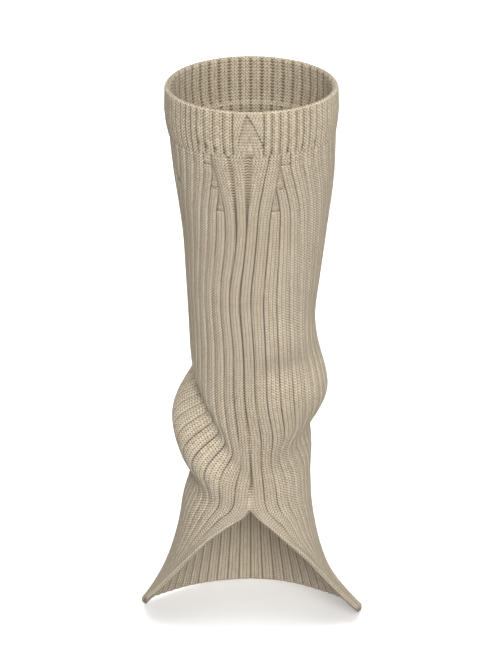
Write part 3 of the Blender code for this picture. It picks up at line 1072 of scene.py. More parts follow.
    def plain_widths(self, side: Side, run: float) -> np.ndarray:
        """Return the shares in width of one side's plain ribs at one run, from front to back."""
        past = (run - self.hem_widening_run) / (self.length - self.hem_widening_run)
        share = np.clip(past, 0.0, 1.0)
        at_back = 1.0 + (self.back_to_side_at_hem - 1.0) * share
        widths = np.linspace(1.0, at_back, self.plain_ribs)
        if side is Side.LEFT:
            number = np.arange(self.plain_ribs)
            gathered = np.exp(-(((number - self.gather_rib) / self.gather_spread) ** 2))
            near = math.exp(-(((run - self.gather_run) / self.gather_reach) ** 2))
            widths = widths * (1.0 - self.gather * gathered * near)
        return widths

    def grooves(self, run: float) -> np.ndarray:
        """Return the azimuths of all the grooves at one run, from the join round to the join."""
        sides = []
        for side, direction in ((Side.RIGHT, 1.0), (Side.LEFT, -1.0)):
            start = float(self.opening_turn(side, np.array(run)))
            turns = np.linspace(start, 180.0, self.fine_arc + 1)
            points = self.surface((direction * turns) % 360.0, run)
            steps = np.linalg.norm(np.diff(points, axis=0), axis=1)
            arc = np.concatenate([[0.0], np.cumsum(steps)])
            shaped = self.shaped_widths(side, run)
            plain = self.plain_widths(side, run)
            plain = plain / plain.sum() * (arc[-1] - shaped.sum())
            edges = np.concatenate([[0.0], np.cumsum(np.concatenate([shaped, plain]))])
            sides.append(np.interp(edges, arc, turns))
        azimuths = np.concatenate([sides[0], (360.0 - sides[1])[::-1][1:]])
        twisted = azimuths + self.fold_effect(azimuths, np.full(azimuths.shape, run), "twist")
        if run > self.apex_run:
            twisted[0] = azimuths[0]
            twisted[-1] = azimuths[-1]
        return twisted

    def rib_starts(self) -> list[float]:
        """Return the run at which each rib starts, from the join round to the join."""
        long_before = -100.0
        side = [long_before] * 2 + [*self.short_rib_starts] + [long_before] * self.plain_ribs
        return side + side[::-1]

    def start_rise(self, past: float, share: np.ndarray) -> np.ndarray:
        """Return how far a rib stands up near its start: a loop, a sunk cup with painted shade, and a
        crown.

        Args:
            past: The run past the rib's start.
            share: Where each column lies across the rib, from 0 to 1.

        Returns:
            The share of the rib's full height at each column.
        """
        curved = past + self.start_curve * (2.0 * share - 1.0) ** 2
        return np.interp(curved, self.start_runs, self.start_rises)


@dataclass(frozen=True)
class Row:
    """One row of a skin of the leg tube, by columns."""

    azimuths: np.ndarray
    rises: np.ndarray
    wales: np.ndarray
    places: np.ndarray


@dataclass(frozen=True)
class Skins:
    """The points of one row on both skins of the cloth and the directions out of them."""

    points: np.ndarray
    normals: np.ndarray
    inner_points: np.ndarray
    inward: np.ndarray


@dataclass(frozen=True)
class EdgeRow:
    """A row that ends at the front opening, with the vertex numbers of its skins."""

    run: float
    row: Row
    skins: Skins
    outer: np.ndarray
    inner: np.ndarray


@dataclass
class LegTube:
    """The rib-knit panel of the leg, from the cuff seam to the hem, as one closed piece of cloth."""

    shape: TubeShape
    trees: GeometryTrees
    material: bpy.types.Material
    row_step: float = 2.4
    wall: float = 3.3
    top_thickening: float = 1.1
    inner_relief: float = 0.9
    rib_relief: float = 1.8
    course: float = 2.0
    wale: float = 2.25
    groove: float = 0.2
    apex_easing: float = 9.0
    apex_easing_below: float = 4.0
    apex_easing_reach: float = 26.0
    least_easing: float = 0.5
    thickening_reach: float = 14.0
    hem_tuck: float = 0.9
    seam_lift: float = 0.6
    seam_crease: float = 0.4
    seam_crease_reach: float = 2.0
    uneven_opening: float = 0.4
    open_groove: float = 0.4
    open_groove_blend: float = 0.8
    widest_groove_share: float = 0.55
    slope_width: float = 0.32
    slope_share: float = 0.35
    full_relief_width: float = 4.0
    opening_blend: float = 8.0
    selvedge_blend: float = 14.0
    selvedge_rise: float = 0.7
    selvedge_wales: float = 2.2
    edge_steps: int = 5
    start_rows: tuple[float, ...] = (-6.0, -5.0, -4.0, -2.8, -1.6, -0.8, 0.0, 1.0, 2.4, 4.4)
    start_room: float = 0.8
    hem_room: float = 0.8
    profile: tuple[float, ...] = (0.0, 0.1, 0.66, 0.94, 1.0, 1.0, 0.94, 0.66, 0.1)
    inner_profile: tuple[float, ...] = (0.0, 0.64, 1.0, 0.64)
    inner_shares: tuple[float, ...] = (0.0, 0.14, 0.5, 0.86)

    def runs(self) -> list[float]:
        """Return the runs of the mesh's rows, with one exactly at the top of the opening."""
        step = self.row_step * 1.0
        apex = self.shape.apex_run
        above = list(np.linspace(0.0, apex, int(apex / step) + 1))
        for start in self.shape.short_rib_starts:
            fine = [start + offset for offset in self.start_rows]
            low = fine[0] - self.start_room
            high = fine[-1] + self.start_room
            above = [run for run in above if not low < run < high] + fine
        opened = self.shape.length - apex
        last = self.shape.length - self.hem_room
        below = np.linspace(apex, last, int(opened / step) + 1)[1:]
        return [*sorted(above), *below, self.shape.length]

    def half_widths(self, run: float, count: int) -> np.ndarray:
        """Return half the flat bottom width of each groove, in mm.

        Args:
            run: Cloth from the cuff seam.
            count: The number of grooves.

        Returns:
            One half width for each groove.
        """
        widths = np.full(count, self.groove)
        widths[[0, -1]] = GROOVE_HALF_WIDTHS.straight("centre", run)
        widths[-2] = GROOVE_HALF_WIDTHS.straight("left_first", run)
        return widths

    def eased_grooves(self, runs: Sequence[float]) -> list[np.ndarray]:
        """Return the grooves' azimuths at each run, with their bend round the opening's top eased.

        Args:
            runs: Cloth from the cuff seam, in order.

        Returns:
            One row of azimuths for each run.
        """
        places = np.array(runs)
        rows = np.array([self.shape.grooves(run) for run in runs])
        eased = rows.copy()
        for index, run in enumerate(runs):
            past = run - self.shape.apex_run - self.apex_easing_below
            reach = self.apex_easing * math.exp(-((past / self.apex_easing_reach) ** 2))
            if reach < self.least_easing:
                continue
            weights = np.exp(-(((places - run) / reach) ** 2))
            weights = weights * np.gradient(places)
            eased[index, 1:-1] = (weights[:, None] * rows[:, 1:-1]).sum(0) / weights.sum()
        return list(eased)

    def openness(self, run: float, grooves: np.ndarray) -> np.ndarray:
        """Return how open each groove stands at one run, from 0 for closed to 1."""
        turns = turn_between(grooves, 0.0)
        values = [float(GROOVE_OPENNESS.straight(name, run)) for name in OPENNESS_TURNS.values()]
        number = np.arange(len(grooves))
        uneven = np.sin(run / 8.0 + 2.4 * number) * np.sin(run / 21.0 + 1.7 * number)
        opening = np.interp(turns, list(OPENNESS_TURNS), values)
        return np.clip(opening * (1.0 + self.uneven_opening * uneven), 0.1, 1.0)

    def rib_columns(self, span: float, left: float, right: float) -> np.ndarray:
        """Return where the columns of one rib lie, in mm from its left groove's middle.

        Args:
            span: The width from groove to groove.
            left: Half the flat bottom of the groove on the left.
            right: Half the flat bottom of the groove on the right.

        Returns:
            The place of each column of the rib's profile.
        """
        slope = min(self.slope_width, self.slope_share * (span / 2.0 - max(left, right)))
        top = max(span / 2.0 - 2.2 * slope, 0.2)
        columns = np.array([
            0.0,
            left,
            left + slope,
            left + 2.0 * slope,
            0.5 * span - 0.25 * top,
            0.5 * span + 0.25 * top,
            span - right - 2.0 * slope,
            span - right - slope,
            span - right,
        ])
        return np.maximum.accumulate(columns)

    def rises_as_worn(self, rises: np.ndarray, azimuths: np.ndarray, run: float) -> np.ndarray:
        """Add the shaping of the cloth as worn on the leg to a row's rises.

        The shaping is the small tucks, the creases of the cuff's seam, the cloth that is
        stretched over a bulge and the flat edges of the front opening. Where it lowers the
        rises, the ribs sink and the material paints shade into them.

        Args:
            rises: The row's rises.
            azimuths: The row's azimuths.
            run: Cloth from the cuff seam.

        Returns:
            The changed rises.
        """
        # Tucks sink the ribs, and their lowered rises take painted shade in the folds.
        for tuck in TUCKS.entries():
            rises = rises - tuck["depth"] * self.nearness(tuck, azimuths, run)
        # A shallow crease under the cuff's seam sinks the ribs, and its lowered rises paint shade
        # where the cuff overhangs the tube.
        turned = np.radians(azimuths)
        gather = 0.5 + 0.5 * np.sin(turned * 11.0) * np.sin(turned * 4.0 + 1.0)
        at_seam = math.exp(-((run / self.seam_crease_reach) ** 2))
        rises = rises * (1.0 - self.seam_crease * gather * at_seam)
        for stretch in STRETCHES.entries():
            rises = rises * (1.0 + stretch["rise"] * self.nearness(stretch, azimuths, run))
        opened = np.clip((run - self.shape.apex_run) / self.opening_blend, 0.0, 1.0)
        if opened > 0.0:
            rises[:3] = np.maximum(rises[:3], opened)
            rises[-3:] = np.maximum(rises[-3:], opened)
        return rises

    @staticmethod
    def nearness(spot: dict[str, float], azimuths: np.ndarray, run: float) -> np.ndarray:
        """Return how near each place is to a spot, from 1 at its middle to 0 far away."""
        turn = turn_between(azimuths, spot["azimuth"])
        away = (turn / spot["half_turn"]) ** 2 + ((run - spot["run"]) / spot["half_run"]) ** 2
        return np.exp(-away)

    def outer_row(self, run: float, grooves: np.ndarray) -> Row:
        """Work out one row of the outer skin.

        Args:
            run: Cloth from the cuff seam.
            grooves: The azimuths of the grooves.

        Returns:
            The row's azimuths, rises, wales and places across the ribs.
        """
        starts = self.shape.rib_starts()
        halves = self.half_widths(run, len(grooves))
        spans = np.linalg.norm(np.diff(self.shape.surface(grooves, run), axis=0), axis=1)
        filled = np.clip((halves - self.open_groove) / self.open_groove_blend, 0.0, 1.0)
        sunk = float(GROOVE_HALF_WIDTHS.straight("sunk", run))
        opened_by = self.openness(run, grooves) * (1.0 - filled) + sunk * filled
        azimuths = []
        rises = []
        wales = []
        places = []
        last = len(spans) - 1
        for rib, span in enumerate(spans):
            widest = self.widest_groove_share * (span / 2.0)
            left = min(halves[rib], widest)
            right = min(halves[rib + 1], widest)
            columns = self.rib_columns(span, left, right)
            share = columns / span
            relief = min(1.0, span / self.full_relief_width)
            opening = np.repeat(opened_by[[rib, rib + 1]], (5, 4))
            started = self.shape.start_rise(run - starts[rib], share)
            rise = (1.0 - (1.0 - np.array(self.profile)) * opening) * started
            if rib in (0, 1):
                wale = 3.0 - (span - right - columns) / self.wale
            elif rib in (last, last - 1):
                wale = (columns - left) / self.wale
            else:
                wale = 3.0 * (columns - left) / max(span - left - right, 0.5)
            azimuths.append(grooves[rib] + share * (grooves[rib + 1] - grooves[rib]))
            rises.append(1.0 - (1.0 - rise) * relief)
            wales.append(wale + WALES_A_RIB * rib)
            places.append(rib + share)
        edge_rise = 1.0 - min(1.0, spans[-1] / self.full_relief_width) * opened_by[-1]
        everywhere = np.append(np.concatenate(azimuths), grooves[-1])
        all_rises = np.append(np.concatenate(rises), edge_rise)
        return Row(
            everywhere,
            self.rises_as_worn(all_rises, everywhere, run),
            np.append(np.concatenate(wales), WALES_A_RIB * (last + 1)),
            np.append(np.concatenate(places), float(last + 1)),
        )

    def inner_row(self, grooves: np.ndarray) -> Row:
        """Work out one row of the inner skin.

        Args:
            grooves: The azimuths of the grooves.

        Returns:
            The row's azimuths, rises, wales and places across the ribs.
        """
        shares = np.array(self.inner_shares)
        span = np.diff(grooves)
        azimuths = (grooves[:-1, None] + shares * span[:, None]).ravel()
        rises = np.tile(self.inner_profile, len(span))
        places = (np.arange(len(span))[:, None] + shares).ravel()
        return Row(
            np.append(azimuths, grooves[-1]),
            np.append(rises, 0.0),
            np.append(places * 3.0, 3.0 * len(span)),
            np.append(places, float(len(span))),
        )

    def edge_row(
        self, outer: np.ndarray, inner: np.ndarray, away: np.ndarray, bulge: float
    ) -> np.ndarray:
        """Return the points that round off the cloth's edge between its two skins.

        Args:
            outer: The edge's point on the outer skin.
            inner: The edge's point on the inner skin.
            away: The unit direction away from the cloth.
            bulge: How full the round is, from 0 for a flat edge to 1.

        Returns:
            The points from the outer side to the inner.
        """
        angles = np.linspace(0.0, math.pi, self.edge_steps + 2)[1:-1]
        middle = (outer + inner) / 2.0
        half = (outer - inner) / 2.0
        radius = np.linalg.norm(half)
        flat = np.linspace(1.0, -1.0, self.edge_steps + 2)[1:-1]
        across = flat * (1.0 - bulge) + np.cos(angles) * bulge
        return middle + across[:, None] * half + (radius * bulge * np.sin(angles))[:, None] * away

    def skins(self, run: float, outer: Row, inner: Row) -> Skins:
        """Place one row of both skins of the cloth.

        Args:
            run: Cloth from the cuff seam.
            outer: The row on the outer skin.
            inner: The row on the inner skin.

        Returns:
            The points of both and the directions out of them.
        """
        at_seam = run == 0.0
        at_hem = run == self.shape.length
        normals = self.shape.normal(outer.azimuths, run)
        level = self.shape.surface(outer.azimuths, run)
        inner_normals = self.shape.normal(inner.azimuths, run)
        inner_level = self.shape.surface(inner.azimuths, run)
        near_seam = math.exp(-((run / self.thickening_reach) ** 2))
        wall = self.wall + self.top_thickening * near_seam
        inner_points = inner_level - inner_normals * wall
        tucked = self.hem_tuck if at_hem else 0.0
        points = level - normals * tucked
        inner_points = inner_points + inner_normals * tucked
        if at_seam or at_hem:
            points[:, 2] = level[:, 2]
            inner_points[:, 2] = inner_level[:, 2]
        if at_seam:
            points[:, 2] += self.seam_lift
            inner_points[:, 2] += self.seam_lift
        upward = self.rib_relief * np.maximum(normals[:, 2], 0.0)
        sinking = upward * np.maximum(1.0 - outer.rises, 0.0)
        points[:, 2] = np.maximum(points[:, 2], FLOOR_CLEARANCE + sinking)
        inner_points[:, 2] = np.maximum(inner_points[:, 2], FLOOR_CLEARANCE)
        inward = -inner_normals * self.inner_relief / self.rib_relief
        return Skins(points, normals, inner_points, inward)

    def shell(self) -> bpy.types.Object:
        """Build the cloth as a closed shell with its stitch map, its ribs still flat."""
        cloth = ClothMesh()
        outer_rows = []
        inner_rows = []
        edges = []
        runs = self.runs()
        all_grooves = self.eased_grooves(runs)
        lengths = np.zeros(len(all_grooves[0]))
        previous = None
        for run, grooves in zip(runs, all_grooves):
            line = self.shape.surface(grooves, run)
            if previous is not None:
                lengths = lengths + np.linalg.norm(line - previous, axis=1)
            previous = line
            row = self.outer_row(run, grooves)
            inner_row = self.inner_row(grooves)
            skins = self.skins(run, row, inner_row)
            closed = run <= self.shape.apex_run
            kept = slice(None, -1) if closed else slice(None)
            outer = cloth.add_row(skins.points[kept], row.rises[kept], skins.normals[kept])
            inner = cloth.add_row(
                skins.inner_points[kept], inner_row.rises[kept], skins.inward[kept]
            )
            if closed:
                outer = np.append(outer, outer[0])
                inner = np.append(inner, inner[0])
            for numbers, one, rows in ((outer, row, outer_rows), (inner, inner_row, inner_rows)):
                courses = np.interp(one.places, np.arange(len(grooves)), lengths) / self.course
                rows.append((numbers, np.stack([one.wales, courses], -1), one.places))
            if run >= self.shape.apex_run:
                edges.append(EdgeRow(run, row, skins, outer, inner))
        for (upper, upper_map, _), (lower, lower_map, _) in zip(outer_rows, outer_rows[1:]):
            cloth.add_strip(upper, lower, upper_map, lower_map)
        for (upper, upper_map, _), (lower, lower_map, _) in zip(inner_rows, inner_rows[1:]):
            cloth.add_strip(upper, lower, upper_map, lower_map, flip=True)
        self.close_opening(cloth, edges)
        for place, flip in ((0, False), (-1, True)):
            outer, outer_map, outer_places = outer_rows[place]
            inner, _, inner_places = inner_rows[place]
            course = float(outer_map[0, 1])
            cloth.add_seam(outer, outer_places, inner, inner_places, course, flip)
        return cloth.build("leg_tube_shell")

    def selvedge_row(self, edges: list[EdgeRow], index: int, end: int) -> np.ndarray:
        """Return the points that round off one row's end at the front opening.

        Args:
            edges: The rows from the top of the opening down.
            index: Which row.
            end: 0 for the row's first column and -1 for its last.

        Returns:
            The points from the outer side to the inner.
        """
        edge = edges[index]
        azimuths = edge.row.azimuths[[end]]
        beyond = azimuths + (-0.5 if end == 0 else 0.5)
        away = self.shape.surface(beyond, edge.run)[0] - self.shape.surface(azimuths, edge.run)[0]
        below = edges[min(index + 1, len(edges) - 1)].skins.points[end]
        above = edges[max(index - 1, 0)].skins.points[end]
        line = below - above
        line = line / max(np.linalg.norm(line), 1e-6)
        away = away - np.dot(away, line) * line
        away = away / max(np.linalg.norm(away), 1e-6)
        past = (edge.run - self.shape.apex_run) / self.selvedge_blend
        bulge = float(np.clip(past, 0.0, 1.0))
        between = self.edge_row(edge.skins.points[end], edge.skins.inner_points[end], away, bulge)
        between[:, 2] = np.maximum(between[:, 2], FLOOR_CLEARANCE)
        return between

    def close_opening(self, cloth: ClothMesh, edges: list[EdgeRow]) -> None:
        """Close the two edges of the front opening with a rounded selvedge.

        Args:
            cloth: The mesh being gathered.
            edges: The rows from the top of the opening down.
        """
        top_chain = None
        for end in (0, -1):
            chains = []
            maps = []
            across = np.linspace(0.0, self.selvedge_wales, self.edge_steps + 2)
            across = across * (1.0 if end == 0 else -1.0)
            for index, edge in enumerate(edges):
                maps.append(np.stack([across, np.full(across.shape, edge.run / self.course)], -1))
                if index == 0 and top_chain is not None:
                    chains.append(top_chain)
                    continue
                between = self.selvedge_row(edges, index, end)
                rise = max(self.selvedge_rise, float(edge.row.rises[end]))
                numbers = cloth.add_row(
                    between, np.full(self.edge_steps, rise), np.zeros((self.edge_steps, 3))
                )
                chains.append(np.concatenate([[edge.outer[end]], numbers, [edge.inner[end]]]))
            top_chain = chains[0]
            for k in range(len(chains) - 1):
                cloth.add_strip(chains[k], chains[k + 1], maps[k], maps[k + 1], flip=(end == 0))
            tail = chains[-1]
            hub = maps[-1]
            for k in range(1, len(tail) - 1):
                numbers = [tail[0], tail[k], tail[k + 1]]
                cloth.add_face(numbers, [hub[0], hub[k], hub[k + 1]], flip=(end == -1))

    def build(self) -> bpy.types.Object:
        """Build the finished leg tube with its ribs raised by Geometry Nodes."""
        shell = self.shell()
        values = {"Rib relief": self.rib_relief * METRES, "Material": self.material}
        piece = realise(shell, self.trees.ribs, "leg_tube_cloth", values)
        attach(piece, "root")
        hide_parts("leg_tube")
        return piece


@dataclass
class CuffShape:
    """The oval of the doubled cuff and the ladders between its narrow ribs."""

    bottom: float = 359.3
    top: float = 391.0
    wall: float = 4.2
    ribs_elsewhere: int = 38
    inner_ribs: int = 46
    radius: float = 62.0
    apex: tuple[float, float] = (-2.6, 389.0)
    widest_height: float = 368.0
    leaf_drop: float = 8.0
    leaf_left: float = -8.4
    leaf_right: float = 7.6
    leaf_taper: float = 0.8
    leaf_tip: float = 0.02

    def ladders(self) -> np.ndarray:
        """Return the azimuths of all the ladders, from the left of the back round to the right."""
        front = np.array(CUFF_LADDERS)
        rest = np.linspace(front[-1], 360.0 + front[0], self.ribs_elsewhere + 1)[1:-1]
        return np.concatenate([front, rest])

    def point(self, azimuth: np.ndarray, height: float, inset: np.ndarray) -> np.ndarray:
        """Return points of the cuff at azimuths in degrees, a height above the floor and an inset."""
        sine = np.sin(np.radians(azimuth))
        cosine = np.cos(np.radians(azimuth))
        level = np.array(height)
        right, left, front, back, drop = (
            CUFF_RINGS.straight(name, level)
            for name in ("right_reach", "left_reach", "front_reach", "back_reach", "left_drop")
        )
        side = np.where(sine >= 0.0, right, left)
        depth = np.where(cosine >= 0.0, front, back)
        raised = height - np.where(sine < 0.0, drop * sine**2, 0.0)
        return np.stack([(side - inset) * sine, -(depth - inset) * cosine, raised], -1)

    def leaf(self, azimuth: np.ndarray, height: float) -> tuple[np.ndarray, np.ndarray]:
        """Return where each place lies in the leaf-shaped gusset at the centre front.

        Args:
            azimuth: Degrees from the front, from -180 to 180.
            height: Height above the floor.

        Returns:
            The share of the way out, 0 on the leaf's midline and 1 on its edge, and the distance
            in mm beyond its edge.
        """
        tip_azimuth, tip_height = self.apex
        middle = (self.leaf_left + self.leaf_right) / 2.0
        half = (self.leaf_right - self.leaf_left) / 2.0
        down = (tip_height - height) / (tip_height - self.widest_height)
        share = float(np.clip(down, 0.0, 1.0))
        centre = tip_azimuth + (middle - tip_azimuth) * share
        width = half * max(share, self.leaf_tip) ** self.leaf_taper
        drop = float(np.clip((self.widest_height - height) / self.leaf_drop, 0.0, 2.0))
        out = np.sqrt(((azimuth - centre) / width) ** 2 + drop**2)
        beyond = (out - 1.0) * math.radians(width) * self.radius
        return out, beyond


@dataclass
class Cuff:
    """The doubled cuff: a closed band of narrow ribs with open ladders between them."""

    shape: CuffShape
    trees: GeometryTrees
    material: bpy.types.Material
    rib_relief: float = 1.2
    inner_relief: float = 0.9
    course: float = 2.3
    ladder_half: float = 0.8
    side_ladder_half: float = 0.65
    ladder_rise: float = 0.2
    inner_ladder_rise: float = 0.22
    leaf_rings: float = 4.0
    leaf_ring_phase: float = 0.95
    leaf_wale: float = 2.2
    leaf_edge_half: float = 0.9
    leaf_edge_depth: float = 0.8
    leaf_left_edge: float = 0.85
    leaf_left_turn: float = -3.0
    leaf_foot: float = 363.0
    leaf_foot_blend: float = 4.0
    foot_patch: tuple[float, float, float, float] = (1.4, 366.0, 2.8, 4.0)
    foot_patch_depth: float = 0.35
    pinch_sink_and_shade: float = 0.25
    front_half_turn: float = 50.0
    rim_blend: float = 0.8
    inner_overlap: float = 16.0
    inner_end_rise: float = 0.8

    def azimuths(self) -> np.ndarray:
        """Return the azimuths of the columns, closer together at the centre front."""
        coarse = 1.0
        front = np.linspace(-45.0, 45.0, int(180 / coarse), endpoint=False)
        rest = np.linspace(45.0, 315.0, int(420 / coarse), endpoint=False)
        return np.concatenate([front, rest])

    def outer_rise(self, azimuth: np.ndarray, height: float) -> tuple[np.ndarray, np.ndarray]:
        """Work out the ribs of the outer side at one height.

        Args:
            azimuth: The columns' azimuths in degrees.
            height: Height above the floor.

        Returns:
            The rise and the wale of each column.
        """
        ladders = self.shape.ladders()
        around = np.where(azimuth >= ladders[0] + 360.0, azimuth - 360.0, azimuth)
        closed = np.append(ladders, ladders[0] + 360.0)
        rib = np.clip(np.searchsorted(closed, around, side="right") - 1, 0, len(closed) - 2)
        before = closed[rib]
        after = closed[rib + 1]
        nearest = np.minimum(around - before, after - around)
        near = nearest * math.pi / 180.0 * self.shape.radius
        signed = self.signed(azimuth)
        in_front = np.abs(signed) < self.front_half_turn
        half = np.where(in_front, self.ladder_half, self.side_ladder_half)
        # Low rises in the ladders sink the cloth and take painted shade in the material.
        rise = eased_from(self.ladder_rise, np.clip((near - half * 0.35) / (half + 0.25), 0.0, 1.0))
        wale = 3.0 * rib + 0.5 + 2.0 * ((around - before) / (after - before))
        at_front = (before < 0.0) & (after > 0.0)
        rise, wale = self.with_leaf(signed, height, rise, wale, at_front)
        # The seam's gathers sink the ribs in the pinches, and the lowered rise paints shade there.
        rise = np.maximum(rise - self.pinch_sink_and_shade * self.pinch(azimuth, height), 0.05)
        return 1.0 - (1.0 - rise) * self.below_rim(height), wale

    def with_leaf(
        self,
        signed: np.ndarray,
        height: float,
        rise: np.ndarray,
        wale: np.ndarray,
        at_front: np.ndarray,
    ) -> tuple[np.ndarray, np.ndarray]:
        """Lay the leaf-shaped gusset over the ribs at one height.

        Args:
            signed: The columns' azimuths, from -180 to 180.
            height: Height above the floor.
            rise: The ribs' rises.
            wale: The ribs' wales.
            at_front: Where the columns belong to the rib that holds the leaf.

        Returns:
            The rise and the wale of each column.
        """
        under_tip = height < self.shape.apex[1]
        out, beyond = self.shape.leaf(signed, height)
        outside = at_front & (out >= 1.0)
        wale = np.where(outside, self.leaf_rings + beyond / self.leaf_wale, wale)
        inside = (out < 1.0) & under_tip
        ring = np.abs((out * self.leaf_rings + self.leaf_ring_phase) % 1.0 - 0.5) * 2.0
        rise = np.where(inside, np.clip(2.1 - 1.95 * ring, 0.2, 1.0), rise)
        wale = np.where(inside, out * self.leaf_rings, wale)
        # The leaf's edge sinks into a narrow groove whose low rise takes painted shade.
        above_foot = (height - self.leaf_foot) / self.leaf_foot_blend
        pointed = under_tip * float(np.clip(above_foot, 0.0, 1.0))
        strength = np.where(signed > self.leaf_left_turn, 1.0, self.leaf_left_edge)
        edge = np.exp(-((beyond / self.leaf_edge_half) ** 2)) * pointed * strength
        rise = np.maximum(rise - self.leaf_edge_depth * edge, 0.06)
        azimuth, level, half_turn, half_height = self.foot_patch
        patch = ((signed - azimuth) / half_turn) ** 2 + ((height - level) / half_height) ** 2
        return rise * (1.0 - self.foot_patch_depth * np.exp(-patch)), wale

    @staticmethod
    def signed(azimuth: np.ndarray) -> np.ndarray:
        """Return azimuths from 0 to 360 as azimuths from -180 to 180."""
        return np.where(azimuth > 180.0, azimuth - 360.0, azimuth)

    def below_rim(self, height: float) -> float:
        """Return 1 well below the rim and 0 on it, where the ladders close."""
        return float(np.clip((self.shape.top - height) / self.rim_blend, 0.0, 1.0))

    def inner_rise(self, azimuth: np.ndarray, height: float) -> tuple[np.ndarray, np.ndarray]:
        """Return the rise and wale of each column on the inner side at one height."""
        turn = azimuth / 360.0 * self.shape.inner_ribs
        near = 1.0 - np.abs((turn % 1.0) * 2.0 - 1.0)
        rise = eased_from(self.inner_ladder_rise, np.clip((near - 0.2) / 0.26, 0.0, 1.0))
        return 1.0 - (1.0 - rise) * self.below_rim(height), np.floor(turn) + 0.5 + turn * 3.0

    def pinch(self, azimuth: np.ndarray, height: float) -> np.ndarray:
        """Return how far the gathers of the seam pinch the cuff in at one height."""
        signed = self.signed(azimuth)
        total = np.zeros(azimuth.shape)
        for spot in PINCHES.entries():
            across = (signed - spot["azimuth"]) * math.pi / 180.0 * self.shape.radius
            away = (across**2 + (height - spot["height"]) ** 2) / spot["spread"] ** 2
            total = total + spot["depth"] * np.exp(-away)
        return total

    def profile(self) -> list[tuple[float, float, float, Skin]]:
        """Return the loop of rows round the cuff's section.

        Returns:
            For each row its height, inset, tilt of the outward direction in degrees, and skin.
        """
        step = 1.0
        wall = self.shape.wall
        half = wall / 2.0
        low = self.shape.bottom
        high = self.shape.top - half
        outer_heights = np.linspace(low + 0.9, high, int((high - low) / step))
        rows = [(low, 0.12, -40.0, Skin.OUTER), (low + 0.35, 0.0, -10.0, Skin.OUTER)]
        rows += [(height, 0.0, 0.0, Skin.OUTER) for height in outer_heights]
        for angle in (22.5, 45.0, 67.5, 90.0, 112.5, 135.0, 157.5):
            turned = math.radians(angle)
            skin = Skin.OUTER if angle <= 90.0 else Skin.INNER
            inset = half * (1.0 - math.cos(turned))
            rows.append((high + half * math.sin(turned), inset, angle, skin))
        inner_heights = np.linspace(high, low + 1.8, int((high - low - 4.0) / (1.5 * step)))
        rows += [(height, wall, 180.0, Skin.INNER) for height in inner_heights]
        rows += [
            (low + 1.1, wall + 0.1, 180.0, Skin.INNER),
            (low + 0.6, wall + 0.5, 180.0, Skin.INNER),
        ]
        end = low - self.inner_overlap
        insets = np.linspace(wall + 1.1, wall + 1.9, int(10 / step))
        heights = np.linspace(low - 1.0, end + 2.0, len(insets))
        rows += [(height, inset, 180.0, Skin.INNER) for height, inset in zip(heights, insets)]
        rows += [
            (end + 0.4, wall + 1.8, 200.0, Skin.INNER),
            (end, wall + 1.0, 270.0, Skin.INNER),
            (end + 0.4, wall + 0.25, 340.0, Skin.INNER),
            (low, wall + 0.15, 270.0, Skin.INNER),
        ]
        return rows

    def shell(self) -> bpy.types.Object:
        """Build the band as a closed shell with its stitch map, its ribs still flat."""
        cloth = ClothMesh()
        azimuth = self.azimuths()
        sine = np.sin(np.radians(azimuth))
        cosine = np.cos(np.radians(azimuth))
        inner_end = self.shape.bottom - self.inner_overlap + 1.5
        rows = []
        travelled = 0.0
        previous = None
        for height, inset, tilt, skin in self.profile():
            level = math.cos(math.radians(tilt))
            upward = np.full(sine.shape, math.sin(math.radians(tilt)))
            outward = np.stack([sine * level, -cosine * level, upward], -1)
            inset_here = np.full(azimuth.shape, inset)
            if skin is Skin.OUTER:
                rise, wale = self.outer_rise(azimuth, height)
                if inset == 0.0:
                    inset_here = self.pinch(azimuth, height)
            else:
                rise, wale = self.inner_rise(azimuth, height)
                outward = outward * self.inner_relief / self.rib_relief
                if height < inner_end:
                    rise = np.maximum(rise, self.inner_end_rise)
            points = self.shape.point(azimuth, height, inset_here)
            if previous is not None:
                travelled += float(np.linalg.norm(points[0] - previous))
            previous = points[0]
            numbers = cloth.add_row(points, rise, outward)
            course = np.full(len(azimuth) + 1, travelled / self.course)
            whole = np.append(wale, wale[0])
            rows.append((np.append(numbers, numbers[0]), np.stack([whole, course], -1)))
        for (lower, lower_map), (upper, upper_map) in zip(rows, rows[1:] + rows[:1]):
            cloth.add_strip(upper, lower, upper_map, lower_map)
        return cloth.build("cuff_shell")

    def build(self) -> bpy.types.Object:
        """Build the finished cuff with its ribs raised by Geometry Nodes."""
        values = {"Rib relief": self.rib_relief * METRES, "Material": self.material}
        piece = realise(self.shell(), self.trees.ribs, "cuff_cloth", values)
        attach(piece, "root")
        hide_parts("cuff")
        return piece


@dataclass
class LinkedSeam:
    """The row of yarn loops that links the cuff to the leg tube."""

    cuff: CuffShape
    trees: GeometryTrees
    material: bpy.types.Material
    loops: int = 190
    inset: float = 1.2
    drop: float = 0.1
    line_steps: int = 180

    def build(self) -> bpy.types.Object:
        """Build the row of loops."""
        azimuths = np.linspace(0.0, 360.0, self.line_steps, endpoint=False)
        points = self.cuff.point(azimuths, self.cuff.bottom, np.full(azimuths.shape, self.inset))
        points[:, 2] -= self.drop
        mesh = bpy.data.meshes.new("seam_line")
        edges = [(i, (i + 1) % self.line_steps) for i in range(self.line_steps)]
        mesh.from_pydata(about_the_hold(points), edges, [])
        line = put_in_scene("seam_line", mesh)
        values = {"Loops": self.loops, "Material": self.material}
        piece = realise(line, self.trees.link, "cuff_seam_loops", values)
        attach(piece, "root")
        return piece


